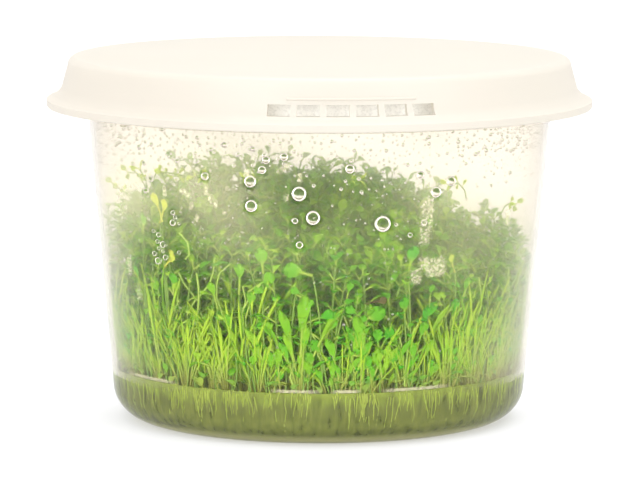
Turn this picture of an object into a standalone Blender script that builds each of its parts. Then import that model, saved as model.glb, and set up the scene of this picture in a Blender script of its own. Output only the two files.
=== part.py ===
"""Round culture tub with a push-on lid, a bed of agar gel and a stand of small carpet plants.

Units are metres and +Z is up. The origin is the centre of the tub's underside, and -Y is the front.
"""

import math
import random

import bmesh
import bpy
from mathutils import Matrix, Vector

MM = 0.001
GAP = 0.3 * MM  # between pieces that touch on the real object
EDGE = 0.4 * MM  # width of the small rounded edges of the mouldings
STEPS = 44  # facets round every turned piece

# Tub
BASE_RADIUS = 40.3 * MM  # flat part of the underside
CORNER_RADIUS = 8.4 * MM  # rounded corner between underside and wall
WALL_THICKNESS = 1.0 * MM
WALL_FOOT_RADIUS = BASE_RADIUS + CORNER_RADIUS
WALL_TOP_RADIUS = 54.6 * MM  # outside, just under the collar
COLLAR_HEIGHT = 72.8 * MM  # underside of the collar at the wall
COLLAR_RADIUS = 62.4 * MM
COLLAR_THICKNESS = 1.0 * MM
COLLAR_RISE = 0.6 * MM  # the collar tilts up towards its edge
NECK_RADIUS = 54.8 * MM  # inside of the mouth
RIM_HEIGHT = 84.0 * MM
RIM_RADIUS = 57.2 * MM
RIM_BEAD = 1.6 * MM

# Lid
LID_HEIGHT = 85.5 * MM
LID_THICKNESS = 1.2 * MM
LID_TOP_RADIUS = 59.2 * MM  # outside of the wall, just under the top corner
LID_CORNER_RADIUS = 1.8 * MM
LID_WALL_FOOT_RADIUS = 60.7 * MM
LID_WALL_FOOT_HEIGHT = 78.2 * MM
SKIRT_RADIUS = 64.2 * MM
SKIRT_THICKNESS = 1.1 * MM
SKIRT_SWEEP = 1.9 * MM  # the skirt flares this far out over its first 2 mm
SKIRT_SWEEP_DROP = 2.0 * MM
SKIRT_TIP_HALF = 0.7 * MM
SKIRT_TIP_HEIGHT = 74.9 * MM
SKIRT_FOOT_HEIGHT = 73.8 * MM
SLOT_COUNT = 6
SLOT_PITCH = 6.6 * MM
SLOT_WIDTH = 5.2 * MM
SLOT_HEIGHT = 2.6 * MM
SLOT_LEVEL = 78.4 * MM  # middle of the slots
SLOT_CUT = 6.0 * MM  # depth of the cut through the wall
TAMPER_TURN = math.radians(7)  # the slots sit this far to the right of the front
BEAD_LEVEL = 80.9 * MM
BEAD_DEPTH = 0.5 * MM
BEAD_SECTION = ((-1.0, 0.0), (0.0, -1.0), (1.0, 0.0), (0.0, 1.0))
BEAD_HALF_ANGLE = math.radians(14)
BEAD_PIECES = 6

# Gel
GEL_HEIGHT = 11.7 * MM
GEL_MENISCUS = 0.9 * MM  # how far it climbs the wall
GEL_MENISCUS_WIDTH = 3.0 * MM

# Plants
PLANT_SEED = 11
RINGS = ((1, 0.0), (6, 13.6 * MM), (12, 27.2 * MM), (18, 40.5 * MM))  # plants in a ring, ring radius
STAND_REACH = RINGS[-1][1]
STAND_HEIGHT = 60.5 * MM  # tops of the tallest plants
CREST_X = -12.0 * MM  # the stand is tallest left of the middle
SIDE_DROP = 11.0 * MM  # from the crest to the right edge
FRONT_DROP = 10.0 * MM
HEIGHT_SPREAD = 2.0 * MM
STEM_FOOT_RADIUS = 0.8 * MM
STEM_TIP_RADIUS = 0.45 * MM
STEM_LEAN = 0.7 * MM
PAIR_SPACING = 0.25  # of the stem's length, from one leaf pair down to the next
LEAF_REACH = 5.8 * MM  # from the stem to the leaf's tip
LEAF_LIFT = 3.4 * MM  # how far the leaf's tip rises above its node
BLADE_HALF_WIDTH = 1.9 * MM
STALK_HALF_WIDTH = 0.5 * MM
LEAF_WIDTHS = (  # share of the reach, half width
    (0.0, STALK_HALF_WIDTH),
    (0.42, STALK_HALF_WIDTH),
    (0.74, BLADE_HALF_WIDTH),
    (1.0, 0.3 * BLADE_HALF_WIDTH),
)
BLADE_SECTION = ((-1.0, 0.25), (0.0, -0.45), (1.0, 0.25))  # flat above, with a keel below
TOP_PAIR_SCALE = 0.8
TOP_PAIR_SHARE = 0.99  # of the stem's length


def clear_scene():
    for thing in list(bpy.data.objects):
        bpy.data.objects.remove(thing, do_unlink=True)


def new_collection(name):
    collection = bpy.data.collections.new(name)
    bpy.context.scene.collection.children.link(collection)
    return collection


def new_material(name, colour, roughness, transmission=0.0):
    material = bpy.data.materials.new(name)
    material.use_nodes = True
    shader = material.node_tree.nodes["Principled BSDF"]
    shader.inputs["Base Color"].default_value = (*colour, 1.0)
    shader.inputs["Roughness"].default_value = roughness
    shader.inputs["Metallic"].default_value = 0.0
    shader.inputs["Transmission Weight"].default_value = transmission
    return material


def arc(centre, radius, start, end, pieces):
    """Points of a round corner, from the angle start to end in degrees, both included."""
    angles = [math.radians(start + (end - start) * i / pieces) for i in range(pieces + 1)]
    return [(centre[0] + radius * math.cos(a), centre[1] + radius * math.sin(a)) for a in angles]


def add_object(name, mesh, collection, material=None):
    thing = bpy.data.objects.new(name, mesh)
    collection.objects.link(thing)
    if material:
        mesh.materials.append(material)
    return thing


def turned(name, profile, collection, material):
    """A solid turned from (radius, height) points that run down its outer side."""
    shape = bmesh.new()
    points = [shape.verts.new((radius, 0.0, height)) for radius, height in profile]
    for above, below in zip(points, points[1:]):
        shape.edges.new((above, below))
    mesh = bpy.data.meshes.new(name)
    shape.to_mesh(mesh)
    shape.free()
    thing = add_object(name, mesh, collection, material)
    screw = thing.modifiers.new("turn", "SCREW")
    screw.steps = STEPS
    screw.render_steps = STEPS
    screw.use_merge_vertices = True
    screw.merge_threshold = 0.00001
    screw.use_smooth_shade = True
    return thing


def poly_curve(name, points, radii):
    curve = bpy.data.curves.new(name, "CURVE")
    curve.dimensions = "3D"
    spline = curve.splines.new("POLY")
    spline.points.add(len(points) - 1)
    for knot, place, radius in zip(spline.points, points, radii):
        knot.co = (*place, 1.0)
        knot.radius = radius
    return curve


def swept(name, points, radii, section, collection):
    """A bar along points: the outline section, scaled by its own radius at each of them."""
    outline = poly_curve(f"{name}_section", [(*place, 0.0) for place in section], [1.0] * len(section))
    outline.splines[0].use_cyclic_u = True
    guide = as_tool(add_object(f"{name}_section", outline, collection))
    curve = poly_curve(name, points, radii)
    curve.bevel_mode = "OBJECT"
    curve.bevel_object = guide
    curve.use_fill_caps = True
    return add_object(name, curve, collection)


def as_mesh(curve_object):
    """The curve's solid as a mesh with its end caps welded on; the curve is removed."""
    graph = bpy.context.evaluated_depsgraph_get()
    mesh = bpy.data.meshes.new_from_object(curve_object.evaluated_get(graph))
    mesh.transform(curve_object.matrix_world)
    bpy.data.objects.remove(curve_object, do_unlink=True)
    shape = bmesh.new()
    shape.from_mesh(mesh)
    bmesh.ops.remove_doubles(shape, verts=shape.verts, dist=0.000001)
    bmesh.ops.recalc_face_normals(shape, faces=shape.faces)
    shape.to_mesh(mesh)
    shape.free()
    return mesh


def as_tool(thing):
    """Marks an object that only cuts or joins another."""
    thing.hide_render = True
    thing.display_type = "WIRE"
    return thing


def combine(thing, tool, operation):
    boolean = thing.modifiers.new(tool.name, "BOOLEAN")
    boolean.operation = operation
    boolean.solver = "EXACT"
    boolean.object = tool


def wall_radius(height):
    """Outer radius of the tub's wall at a height between its foot and the collar."""
    share = (height - CORNER_RADIUS) / (COLLAR_HEIGHT - CORNER_RADIUS)
    return WALL_FOOT_RADIUS + share * (WALL_TOP_RADIUS - WALL_FOOT_RADIUS)


def make_cup(collection, material):
    corner = (BASE_RADIUS, CORNER_RADIUS)
    inner_corner = arc(corner, CORNER_RADIUS - WALL_THICKNESS, -90, 0, 3)
    outer_corner = arc(corner, CORNER_RADIUS, 0, -90, 4)
    profile = [(0.0, WALL_THICKNESS)]
    profile += inner_corner
    profile += [
        (WALL_TOP_RADIUS - WALL_THICKNESS, COLLAR_HEIGHT),
        (NECK_RADIUS, RIM_HEIGHT),
        (RIM_RADIUS, RIM_HEIGHT),
        (RIM_RADIUS, RIM_HEIGHT - RIM_BEAD),
        (NECK_RADIUS + WALL_THICKNESS, RIM_HEIGHT - RIM_BEAD),
        (NECK_RADIUS + WALL_THICKNESS / 2, COLLAR_HEIGHT + COLLAR_THICKNESS),
        (COLLAR_RADIUS - EDGE, COLLAR_HEIGHT + COLLAR_THICKNESS + COLLAR_RISE),
        (COLLAR_RADIUS, COLLAR_HEIGHT + COLLAR_THICKNESS / 2 + COLLAR_RISE),
        (COLLAR_RADIUS - EDGE, COLLAR_HEIGHT + COLLAR_RISE),
        (WALL_TOP_RADIUS, COLLAR_HEIGHT),
    ]
    profile += outer_corner
    profile += [(0.0, 0.0)]
    return turned("cup", profile, collection, material)


def on_lid_wall(turn, radius, height):
    """A place on the lid's wall, turned to the right of the front."""
    return Vector((radius * math.sin(turn), -radius * math.cos(turn), height))


def lid_bead(tools):
    """The low moulded bead over the tamper slots, along the lid's wall."""
    foot_share = (LID_HEIGHT - BEAD_LEVEL) / (LID_HEIGHT - LID_WALL_FOOT_HEIGHT)
    radius = LID_TOP_RADIUS + foot_share * (LID_WALL_FOOT_RADIUS - LID_TOP_RADIUS)
    shares = [2 * i / BEAD_PIECES - 1 for i in range(BEAD_PIECES + 1)]
    points = [on_lid_wall(TAMPER_TURN + BEAD_HALF_ANGLE * share, radius, BEAD_LEVEL) for share in shares]
    mesh = as_mesh(swept("lid_bead", points, [BEAD_DEPTH] * len(points), BEAD_SECTION, tools))
    return as_tool(add_object("lid_bead", mesh, tools))


def slot_cutter(name, turn, tools):
    shape = bmesh.new()
    bmesh.ops.create_cube(shape, size=1.0)
    shape.transform(Matrix.Diagonal((SLOT_WIDTH, SLOT_CUT, SLOT_HEIGHT, 1.0)))
    mesh = bpy.data.meshes.new(name)
    shape.to_mesh(mesh)
    shape.free()
    cutter = as_tool(add_object(name, mesh, tools))
    cutter.location = on_lid_wall(turn, LID_WALL_FOOT_RADIUS, SLOT_LEVEL)
    cutter.rotation_euler.z = turn
    return cutter


def make_lid(collection, tools, material):
    shoulder = (LID_TOP_RADIUS - LID_CORNER_RADIUS, LID_HEIGHT - LID_CORNER_RADIUS)
    under = LID_HEIGHT - LID_THICKNESS
    inside = LID_TOP_RADIUS - LID_THICKNESS
    lip = SKIRT_RADIUS - SKIRT_THICKNESS
    profile = [(0.0, LID_HEIGHT)]
    profile += arc(shoulder, LID_CORNER_RADIUS, 90, 0, 3)
    profile += [
        (LID_WALL_FOOT_RADIUS, LID_WALL_FOOT_HEIGHT),
        (LID_WALL_FOOT_RADIUS + SKIRT_SWEEP, LID_WALL_FOOT_HEIGHT - SKIRT_SWEEP_DROP),
        (SKIRT_RADIUS, SKIRT_TIP_HEIGHT + SKIRT_TIP_HALF),
        (SKIRT_RADIUS, SKIRT_TIP_HEIGHT - SKIRT_TIP_HALF),
        (SKIRT_RADIUS - EDGE, SKIRT_FOOT_HEIGHT),
        (lip, SKIRT_FOOT_HEIGHT),
        (lip, SKIRT_TIP_HEIGHT + EDGE),
        (LID_WALL_FOOT_RADIUS - SKIRT_THICKNESS, LID_WALL_FOOT_HEIGHT - SKIRT_THICKNESS),
        (inside, under - 2 * EDGE),
        (inside - 2 * EDGE, under),
        (0.0, under),
    ]
    lid = turned("lid", profile, collection, material)
    combine(lid, lid_bead(tools), "UNION")
    for index in range(SLOT_COUNT):
        along = (index - (SLOT_COUNT - 1) / 2) * SLOT_PITCH
        turn = TAMPER_TURN + along / LID_WALL_FOOT_RADIUS
        combine(lid, slot_cutter(f"lid_slot_{index + 1}", turn, tools), "DIFFERENCE")
    return lid


def make_gel(collection, material):
    corner = (BASE_RADIUS, CORNER_RADIUS)
    radius = CORNER_RADIUS - WALL_THICKNESS - GAP
    edge_height = GEL_HEIGHT + GEL_MENISCUS
    edge_radius = wall_radius(edge_height) - WALL_THICKNESS - GAP
    profile = [
        (0.0, GEL_HEIGHT),
        (edge_radius - GEL_MENISCUS_WIDTH, GEL_HEIGHT),
        (edge_radius - GEL_MENISCUS_WIDTH / 4, GEL_HEIGHT + GEL_MENISCUS / 3),
        (edge_radius, edge_height),
    ]
    profile += arc(corner, radius, 0, -90, 3)
    profile += [(0.0, CORNER_RADIUS - radius)]
    return turned("gel", profile, collection, material)


def leaf_pair_mesh(tools):
    """Two opposite leaves in one piece: stalks that meet in the stem, and spoon-shaped blades."""
    half = [(share * LEAF_REACH, width) for share, width in LEAF_WIDTHS]
    stations = [(-along, width) for along, width in reversed(half[1:])] + half
    places = [(along, 0.0, 0.0) for along, width in stations]
    mesh = as_mesh(swept("leaf_pair", places, [width for along, width in stations], BLADE_SECTION, tools))
    for vertex in mesh.vertices:
        share = abs(vertex.co.x) / LEAF_REACH
        vertex.co.z += LEAF_LIFT * (1 - (1 - share) ** 2)
    return mesh


def stem_mesh(name, foot, tip):
    """A three-sided stem that tapers from foot to tip."""
    shape = bmesh.new()
    bmesh.ops.create_cone(
        shape,
        cap_ends=True,
        segments=3,
        radius1=STEM_FOOT_RADIUS,
        radius2=STEM_TIP_RADIUS,
        depth=(tip - foot).length,
    )
    upright = (tip - foot).to_track_quat("Z", "Y").to_matrix().to_4x4()
    shape.transform(Matrix.Translation((foot + tip) / 2) @ upright)
    mesh = bpy.data.meshes.new(name)
    shape.to_mesh(mesh)
    shape.free()
    return mesh


def stand_height(x, y):
    """Height of the plants' tops at a place in the tub."""
    front = max(0.0, -y / STAND_REACH)
    side = ((x - CREST_X) / (STAND_REACH - CREST_X)) ** 2
    return STAND_HEIGHT - FRONT_DROP * front - SIDE_DROP * side


def make_plantlet(name, x, y, pairs, pair_mesh, chance, collection, tools, material):
    """An upright stem on the gel, with its leaf pairs turned a quarter from one to the next."""
    foot = Vector((x, y, GEL_HEIGHT + GAP))
    top = stand_height(x, y) + chance.uniform(-HEIGHT_SPREAD, HEIGHT_SPREAD) - TOP_PAIR_SCALE * LEAF_LIFT
    lean = Matrix.Rotation(chance.uniform(0, math.tau), 3, "Z") @ Vector((STEM_LEAN, 0, 0))
    tip = Vector((x, y, top)) + lean
    plantlet = add_object(name, stem_mesh(name, foot, tip), collection, material)
    turn = chance.uniform(0, math.tau)
    leaves = bmesh.new()
    for index in range(pairs):
        size = TOP_PAIR_SCALE if index == 0 else chance.uniform(0.9, 1.0)
        place = (
            Matrix.Translation(foot.lerp(tip, TOP_PAIR_SHARE - PAIR_SPACING * index))
            @ Matrix.Rotation(turn + index * math.pi / 2, 4, "Z")
            @ Matrix.Scale(size, 4)
        )
        pair = pair_mesh.copy()
        pair.transform(place)
        leaves.from_mesh(pair)
        bpy.data.meshes.remove(pair)
    leaves_mesh = bpy.data.meshes.new(f"{name}_leaves")
    leaves.to_mesh(leaves_mesh)
    leaves.free()
    combine(plantlet, as_tool(add_object(f"{name}_leaves", leaves_mesh, tools)), "UNION")
    return plantlet


def make_stand(collection, tools, material):
    """The plants, in rings round the middle of the gel."""
    chance = random.Random(PLANT_SEED)
    pair_mesh = leaf_pair_mesh(tools)
    number = 0
    for ring, (count, radius) in enumerate(RINGS):
        for place in range(count):
            number += 1
            angle = math.tau * (place + 0.5 * (ring % 2)) / count
            x = radius * math.cos(angle)
            y = radius * math.sin(angle)
            pairs = 3 if number % 2 else 2
            make_plantlet(
                f"plantlet_{number:02d}", x, y, pairs, pair_mesh, chance, collection, tools, material
            )


def main():
    clear_scene()
    parts = new_collection("glossostigma_culture_tub")
    tools = new_collection("cutters")
    tub_plastic = new_material("clear_polypropylene", (0.90, 0.93, 0.88), 0.25, transmission=0.9)
    lid_plastic = new_material("milky_polypropylene", (0.93, 0.92, 0.86), 0.4)
    agar = new_material("agar_gel", (0.23, 0.25, 0.07), 0.35, transmission=0.5)
    leaf_green = new_material("leaf_green", (0.12, 0.42, 0.04), 0.45)
    make_cup(parts, tub_plastic)
    make_lid(parts, tools, lid_plastic)
    make_gel(parts, agar)
    make_stand(parts, tools, leaf_green)


main()
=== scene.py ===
# %% [markdown]
# # A carpet plant in a culture tub
#
# The object is a round polypropylene tub in which a small-leaved carpet plant is grown from tissue culture and
# sold. It stands on a disc of agar gel, under a milky push-on lid, and its own damp has beaded on the wall.
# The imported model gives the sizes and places. This lesson dresses it piece by piece: plastics, gel, leaves,
# water and roots. Every length below is a real one, in millimetres unless it is multiplied by MM.

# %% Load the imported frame
import math
import random

import bmesh
import bpy
from mathutils import Matrix, Vector
from mathutils.kdtree import KDTree


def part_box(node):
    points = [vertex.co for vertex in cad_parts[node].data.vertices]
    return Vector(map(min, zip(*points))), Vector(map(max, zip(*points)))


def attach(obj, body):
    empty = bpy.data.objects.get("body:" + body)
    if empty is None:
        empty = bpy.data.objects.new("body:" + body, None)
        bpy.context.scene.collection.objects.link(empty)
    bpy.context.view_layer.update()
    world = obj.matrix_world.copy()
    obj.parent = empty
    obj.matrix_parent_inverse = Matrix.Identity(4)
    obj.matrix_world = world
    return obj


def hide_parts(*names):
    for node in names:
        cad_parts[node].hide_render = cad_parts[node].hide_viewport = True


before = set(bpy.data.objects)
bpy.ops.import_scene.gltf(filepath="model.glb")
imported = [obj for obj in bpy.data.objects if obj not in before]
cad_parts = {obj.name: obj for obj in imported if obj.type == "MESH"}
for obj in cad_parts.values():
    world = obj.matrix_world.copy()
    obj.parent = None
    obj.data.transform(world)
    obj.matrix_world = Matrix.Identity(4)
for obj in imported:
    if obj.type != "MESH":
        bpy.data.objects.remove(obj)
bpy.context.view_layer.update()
MM = 0.001
PLANTLETS = sorted(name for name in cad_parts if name.startswith("plantlet"))
print("nodes", len(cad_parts), "of them plantlets", len(PLANTLETS))

# %% [markdown]
# ## The camera
#
# A product picture like this one is taken from more than a metre away with a long lens, which keeps the tub's
# sides straight. The lens is worked out from how many millimetres one pixel covers at the tub's axis. The same
# numbers, turned round, give the ray behind any pixel, and that is how single drops and leaves find their
# place on the wall later on.

# %% Camera
PICTURE_WIDTH = 640
PICTURE_HEIGHT = 478
EYE = Vector((0.0, -1100 * MM, 181 * MM))
AIM = Vector((0.0, 0.0, 42 * MM))
PIXEL = 0.2365 * MM  # covered by one pixel at the axis
AXIS_COLUMN = 319  # the pixel column of the tub's axis
ROLL = math.radians(0.2)
SENSOR = 36.0


def into_scene(name, data):
    """A new object at the origin that holds this mesh, curve, camera or light."""
    holder = bpy.data.objects.new(name, data)
    bpy.context.scene.collection.objects.link(holder)
    return holder


view_line = AIM - EYE
focal_pixels = view_line.length / PIXEL
camera_data = bpy.data.cameras.new("camera")
camera = into_scene("camera", camera_data)
bpy.context.scene.camera = camera
camera.location = EYE
camera.rotation_euler = view_line.to_track_quat("-Z", "Y").to_euler()
camera.rotation_euler.rotate_axis("Z", ROLL)
camera_data.sensor_width = SENSOR
camera_data.lens = focal_pixels * SENSOR / PICTURE_WIDTH
camera_data.shift_x = (PICTURE_WIDTH / 2 - AXIS_COLUMN) / PICTURE_WIDTH
camera_data.clip_start = 50 * MM
print("lens", round(camera_data.lens), "mm")


def pixel_ray(column, row):
    """Direction of the ray through a pixel of the picture."""
    across = (column - AXIS_COLUMN) / focal_pixels
    up = (PICTURE_HEIGHT / 2 - row) / focal_pixels
    return camera.rotation_euler.to_matrix() @ Vector((across, up, -1.0)).normalized()


# %% [markdown]
# ## Two small helpers for materials
#
# Colours are read off as sRGB, the way a colour picker shows them, but Cycles works with linear light, so one
# function does the change. The other adds a shader or geometry node, sets its options, and links or sets its
# inputs, so that each material below reads as a short list of what it is made of.

# %% Colour and node helpers
def srgb(code):
    """A hex colour as linear RGBA."""
    channels = [int(code[i:i + 2], 16) / 255 for i in (1, 3, 5)]
    return tuple(c / 12.92 if c <= 0.04045 else ((c + 0.055) / 1.055) ** 2.4 for c in channels) + (1.0,)


def add_node(tree, kind, options=None, inputs=None):
    """Adds a node. An input is given by name or number; a socket is linked and anything else is set."""
    node = tree.nodes.new(kind)
    for name, value in (options or {}).items():
        setattr(node, name, value)
    for name, value in (inputs or {}).items():
        if isinstance(value, bpy.types.NodeSocket):
            tree.links.new(value, node.inputs[name])
        else:
            node.inputs[name].default_value = value
    return node


def new_material(name):
    """An empty material, and its tree and output."""
    material = bpy.data.materials.new(name)
    material.use_nodes = True
    material.node_tree.nodes.clear()
    return material, material.node_tree, add_node(material.node_tree, "ShaderNodeOutputMaterial")


print("middle grey #808080 is", round(srgb("#808080")[0], 3), "in linear light")

# %% [markdown]
# ## Clear polypropylene
#
# The tub is injection-moulded from clarified polypropylene. It is never as clear as glass: most of the light
# passes straight, and haze in the plastic spreads the rest widely. That lays a soft veil over what lies deep
# inside, while a leaf that touches the wall stays sharp. So a nearly polished transmissive shader is mixed with
# a cloudy one, and a faint absorption warms the rim and the base, where light runs a long way in the plastic.
# The index of refraction of polypropylene is 1.49. In a white studio that mirrors so much floor that the leaves
# turn grey, where the real wall keeps them green, so the index is brought down until the two agree.

# %% Clear polypropylene
HAZE = 0.24  # share of the light that each face of the plastic scatters widely
CLEAR_INDEX = 1.16
CLEAR_TINT = "#f8f3ea"


def clear_polypropylene():
    """Clear, slightly hazy plastic with the slow waves of a moulded wall."""
    material, tree, output = new_material("moulded_clear_polypropylene")
    place = add_node(tree, "ShaderNodeTexCoord")
    wave = add_node(tree, "ShaderNodeTexNoise", None, {
        "Vector": place.outputs["Object"],
        "Scale": 1 / (14 * MM),  # slow waves left by the moulding, a centimetre or so apart
        "Detail": 1.0,
    })
    bump = add_node(tree, "ShaderNodeBump", None, {
        "Height": wave.outputs["Fac"],
        "Strength": 0.25,
        "Distance": 0.4 * MM,
    })
    plain = add_node(tree, "ShaderNodeBsdfPrincipled", None, {
        "Base Color": srgb(CLEAR_TINT),
        "Roughness": 0.06,
        "IOR": CLEAR_INDEX,
        "Transmission Weight": 1.0,
        "Normal": bump.outputs["Normal"],
    })
    haze = add_node(tree, "ShaderNodeBsdfPrincipled", None, {
        "Base Color": srgb(CLEAR_TINT),
        "Roughness": 0.5,
        "IOR": CLEAR_INDEX,
        "Transmission Weight": 1.0,
    })
    surface = add_node(tree, "ShaderNodeMixShader", None, {
        0: HAZE, 1: plain.outputs["BSDF"], 2: haze.outputs["BSDF"]})
    lamp = add_node(tree, "ShaderNodeLightPath")
    open_to_light = add_node(tree, "ShaderNodeBsdfTransparent", None, {"Color": srgb("#fbfbf4")})
    both = add_node(tree, "ShaderNodeMixShader", None, {
        0: lamp.outputs["Is Shadow Ray"],
        1: surface.outputs["Shader"],
        2: open_to_light.outputs["BSDF"],
    })
    tree.links.new(both.outputs["Shader"], output.inputs["Surface"])
    body = add_node(tree, "ShaderNodeVolumeAbsorption", None, {"Color": srgb("#e2dccc"), "Density": 45.0})
    tree.links.new(body.outputs["Volume"], output.inputs["Volume"])
    return material


clear = clear_polypropylene()
print(clear.name, len(clear.node_tree.nodes), "nodes, haze", HAZE)

# %% [markdown]
# ## Milky polypropylene
#
# The lid is the same plastic without the clarifier, so light scatters inside it and comes out cream white.
# A diffuse surface mixed with a translucent one lets the daylight through to the leaves and hides what is
# under it. A fine grain, as a satin mould leaves it, breaks up the gloss.

# %% Milky polypropylene
def milky_polypropylene():
    """Cream, light-scattering plastic with a satin grain."""
    material, tree, output = new_material("moulded_milky_polypropylene")
    place = add_node(tree, "ShaderNodeTexCoord")
    cloud = add_node(tree, "ShaderNodeTexNoise", None, {
        "Vector": place.outputs["Object"],
        "Scale": 1 / (30 * MM),  # the melt clouds over a few centimetres
        "Detail": 2.0,
    })
    tone = add_node(tree, "ShaderNodeMix", {"data_type": "RGBA"}, {
        "Factor": cloud.outputs["Fac"],
        6: srgb("#dcd8ce"),
        7: srgb("#dcd5ca"),
    })
    grain = add_node(tree, "ShaderNodeTexNoise", None, {
        "Vector": place.outputs["Object"],
        "Scale": 1 / (0.5 * MM),  # real satin grain is a tenth of a millimetre, too fine to show
        "Detail": 2.0,
    })
    bump = add_node(tree, "ShaderNodeBump", None, {
        "Height": grain.outputs["Fac"],
        "Strength": 0.15,
        "Distance": 0.05 * MM,
    })
    surface = add_node(tree, "ShaderNodeBsdfPrincipled", None, {
        "Base Color": tone.outputs[2],
        "Roughness": 0.38,
        "IOR": 1.49,
        "Normal": bump.outputs["Normal"],
    })
    through = add_node(tree, "ShaderNodeBsdfTranslucent", None, {
        "Color": tone.outputs[2],
        "Normal": bump.outputs["Normal"],
    })
    both = add_node(tree, "ShaderNodeMixShader", None, {
        0: 0.45,
        1: surface.outputs["BSDF"],
        2: through.outputs["BSDF"],
    })
    tree.links.new(both.outputs["Shader"], output.inputs["Surface"])
    return material


milky = milky_polypropylene()
print(milky.name, len(milky.node_tree.nodes), "nodes")

# %% [markdown]
# ## Turning a profile
#
# Tub, lid, gel and the films of damp are all round, so each is a profile of radius and height that is turned
# about the axis. A point on the axis becomes one vertex, so the middle of a disc is closed, and a profile that
# never meets the axis is joined end to end into a ring.

# %% Turned shapes
TURNS = 192  # steps round a turned piece
CORNER_STEPS = 8
CREASE = math.radians(32)
ON_AXIS = 1e-6  # a smaller radius than this is the axis itself


def arc(radius, height, size, start, end):
    """Points of a rounded corner about (radius, height), with both angles in degrees."""
    angles = [math.radians(start + (end - start) * i / CORNER_STEPS) for i in range(CORNER_STEPS + 1)]
    return [(radius + size * math.cos(a), height + size * math.sin(a)) for a in angles]


def polished(mesh):
    """Shades a mesh smooth but keeps its corners crisp."""
    mesh.shade_smooth()
    mesh.set_sharp_from_angle(angle=CREASE)
    return mesh


def turned(name, profile, angles=None):
    """A closed mesh from a profile of (radius, height) in millimetres, with a step at each angle."""
    angles = angles or [math.tau * i / TURNS for i in range(TURNS)]
    turns = len(angles)
    shape = bmesh.new()
    rings = []
    for radius, height in profile:
        if radius < ON_AXIS:
            rings.append([shape.verts.new((0, 0, height * MM))] * turns)
            continue
        rings.append([shape.verts.new((radius * math.cos(a) * MM, radius * math.sin(a) * MM, height * MM))
                      for a in angles])
    pairs = list(zip(rings, rings[1:]))
    if profile[0][0] > ON_AXIS:
        pairs.append((rings[-1], rings[0]))
    for lower, upper in pairs:
        for i in range(turns):
            j = (i + 1) % turns
            corners = [lower[i], lower[j], upper[j], upper[i]]
            shape.faces.new(list(dict.fromkeys(corners)))
    bmesh.ops.recalc_face_normals(shape, faces=shape.faces)
    mesh = bpy.data.meshes.new(name)
    shape.to_mesh(mesh)
    shape.free()
    return polished(mesh)


def new_piece(name, mesh, material):
    """Puts a mesh in the scene as a piece of the object."""
    mesh.materials.clear()
    mesh.materials.append(material)
    piece = into_scene(name, mesh)
    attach(piece, "root")
    print(name, len(mesh.polygons), "faces")
    return piece


print("a step on a radius of 50 mm is", round(math.tau * 50 / TURNS, 1), "mm long")

# %% [markdown]
# ## The tub
#
# One moulding: a flat base, a rounded corner, a wall that opens by five degrees, a collar that the lid lands
# on, and a neck with a beaded rim. The wall is a millimetre thick all over.

# %% The tub
WALL = 1.0
BASE_RADIUS = 40.3
CORNER = 8.4
FOOT_RADIUS = BASE_RADIUS + CORNER
WALL_TOP = 54.6
COLLAR_LEVEL = 72.8
WALL_SLOPE = (WALL_TOP - FOOT_RADIUS) / (COLLAR_LEVEL - CORNER)


def wall_radius(height):
    """Outside radius of the wall at a height, both in millimetres."""
    return FOOT_RADIUS + (height - CORNER) * WALL_SLOPE


def inner_radius(height):
    """Radius of the wall's inside at a height, in millimetres."""
    if height >= CORNER:
        return wall_radius(height) - WALL
    return BASE_RADIUS + math.sqrt((CORNER - WALL) ** 2 - (CORNER - max(height, WALL)) ** 2)


CUP_PROFILE = (
    [(0, WALL)] + arc(BASE_RADIUS, CORNER, CORNER - WALL, -90, 0)
    + [(53.6, COLLAR_LEVEL), (54.8, 83.7)]  # inside of the neck
    + [(55.1, 84.0), (56.9, 84.0), (57.2, 83.7), (57.2, 82.7), (56.9, 82.4), (55.8, 82.4)]  # beaded rim
    + [(55.3, 73.8), (61.9, 74.4), (62.3, 74.2), (62.4, 73.9), (62.3, 73.6), (61.9, 73.4)]  # collar
    + [(WALL_TOP, COLLAR_LEVEL)]
    + arc(BASE_RADIUS, CORNER, CORNER, 0, -90) + [(0, 0)]
)
cup = new_piece("tub", turned("tub", CUP_PROFILE), clear)
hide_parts("cup")

# %% [markdown]
# ## The lid
#
# The lid is turned as well: a flat top, a short wall that leans out, and a skirt that flares over the collar.
# Its front has a tamper strip, a row of six slots under a fine moulded bead. First come the profile and the
# sizes of that strip.

# %% The lid's profile and tamper strip
LID_PROFILE = (
    [(0, 85.5)] + arc(57.4, 83.7, 1.8, 90, 0)
    + [(60.7, 78.2), (61.5, 77.1), (62.6, 76.2), (63.9, 75.7), (64.2, 75.5), (64.2, 74.1), (64.0, 73.8)]
    + [(63.3, 73.8), (63.1, 74.0), (63.1, 75.1), (62.2, 75.5), (60.8, 76.2), (59.6, 77.1)]
    + [(58.0, 83.3), (57.6, 84.0), (57.0, 84.3), (0, 84.3)]
)
TAMPER_TURN = math.radians(-90 + 7)  # the strip's middle, just right of the front
SLOT_COUNT = 6
SLOT_RADIUS = 60.6
SLOT_PITCH = 6.6
SLOT_SIZE = (5.2, 4.0, 2.6)
SLOT_LEVEL = 78.4
BEAD_RADIUS = 59.9
BEAD_LEVEL = 80.9
BEAD_SIZE = 0.35
BEAD_SPAN = math.radians(28)
BEAD_STEPS = 24
WELD = 0.001  # vertices closer than this are one
print("lid profile", len(LID_PROFILE), "points, slots over", round(SLOT_COUNT * SLOT_PITCH, 1), "mm")

# %% [markdown]
# ## Node trees as tools
#
# Geometry Nodes make everything here that repeats. One helper opens a tree with named inputs. The other runs a
# tree on a mesh: it sets each input by its identifier, takes the result as a plain mesh, and the modifier goes.

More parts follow.
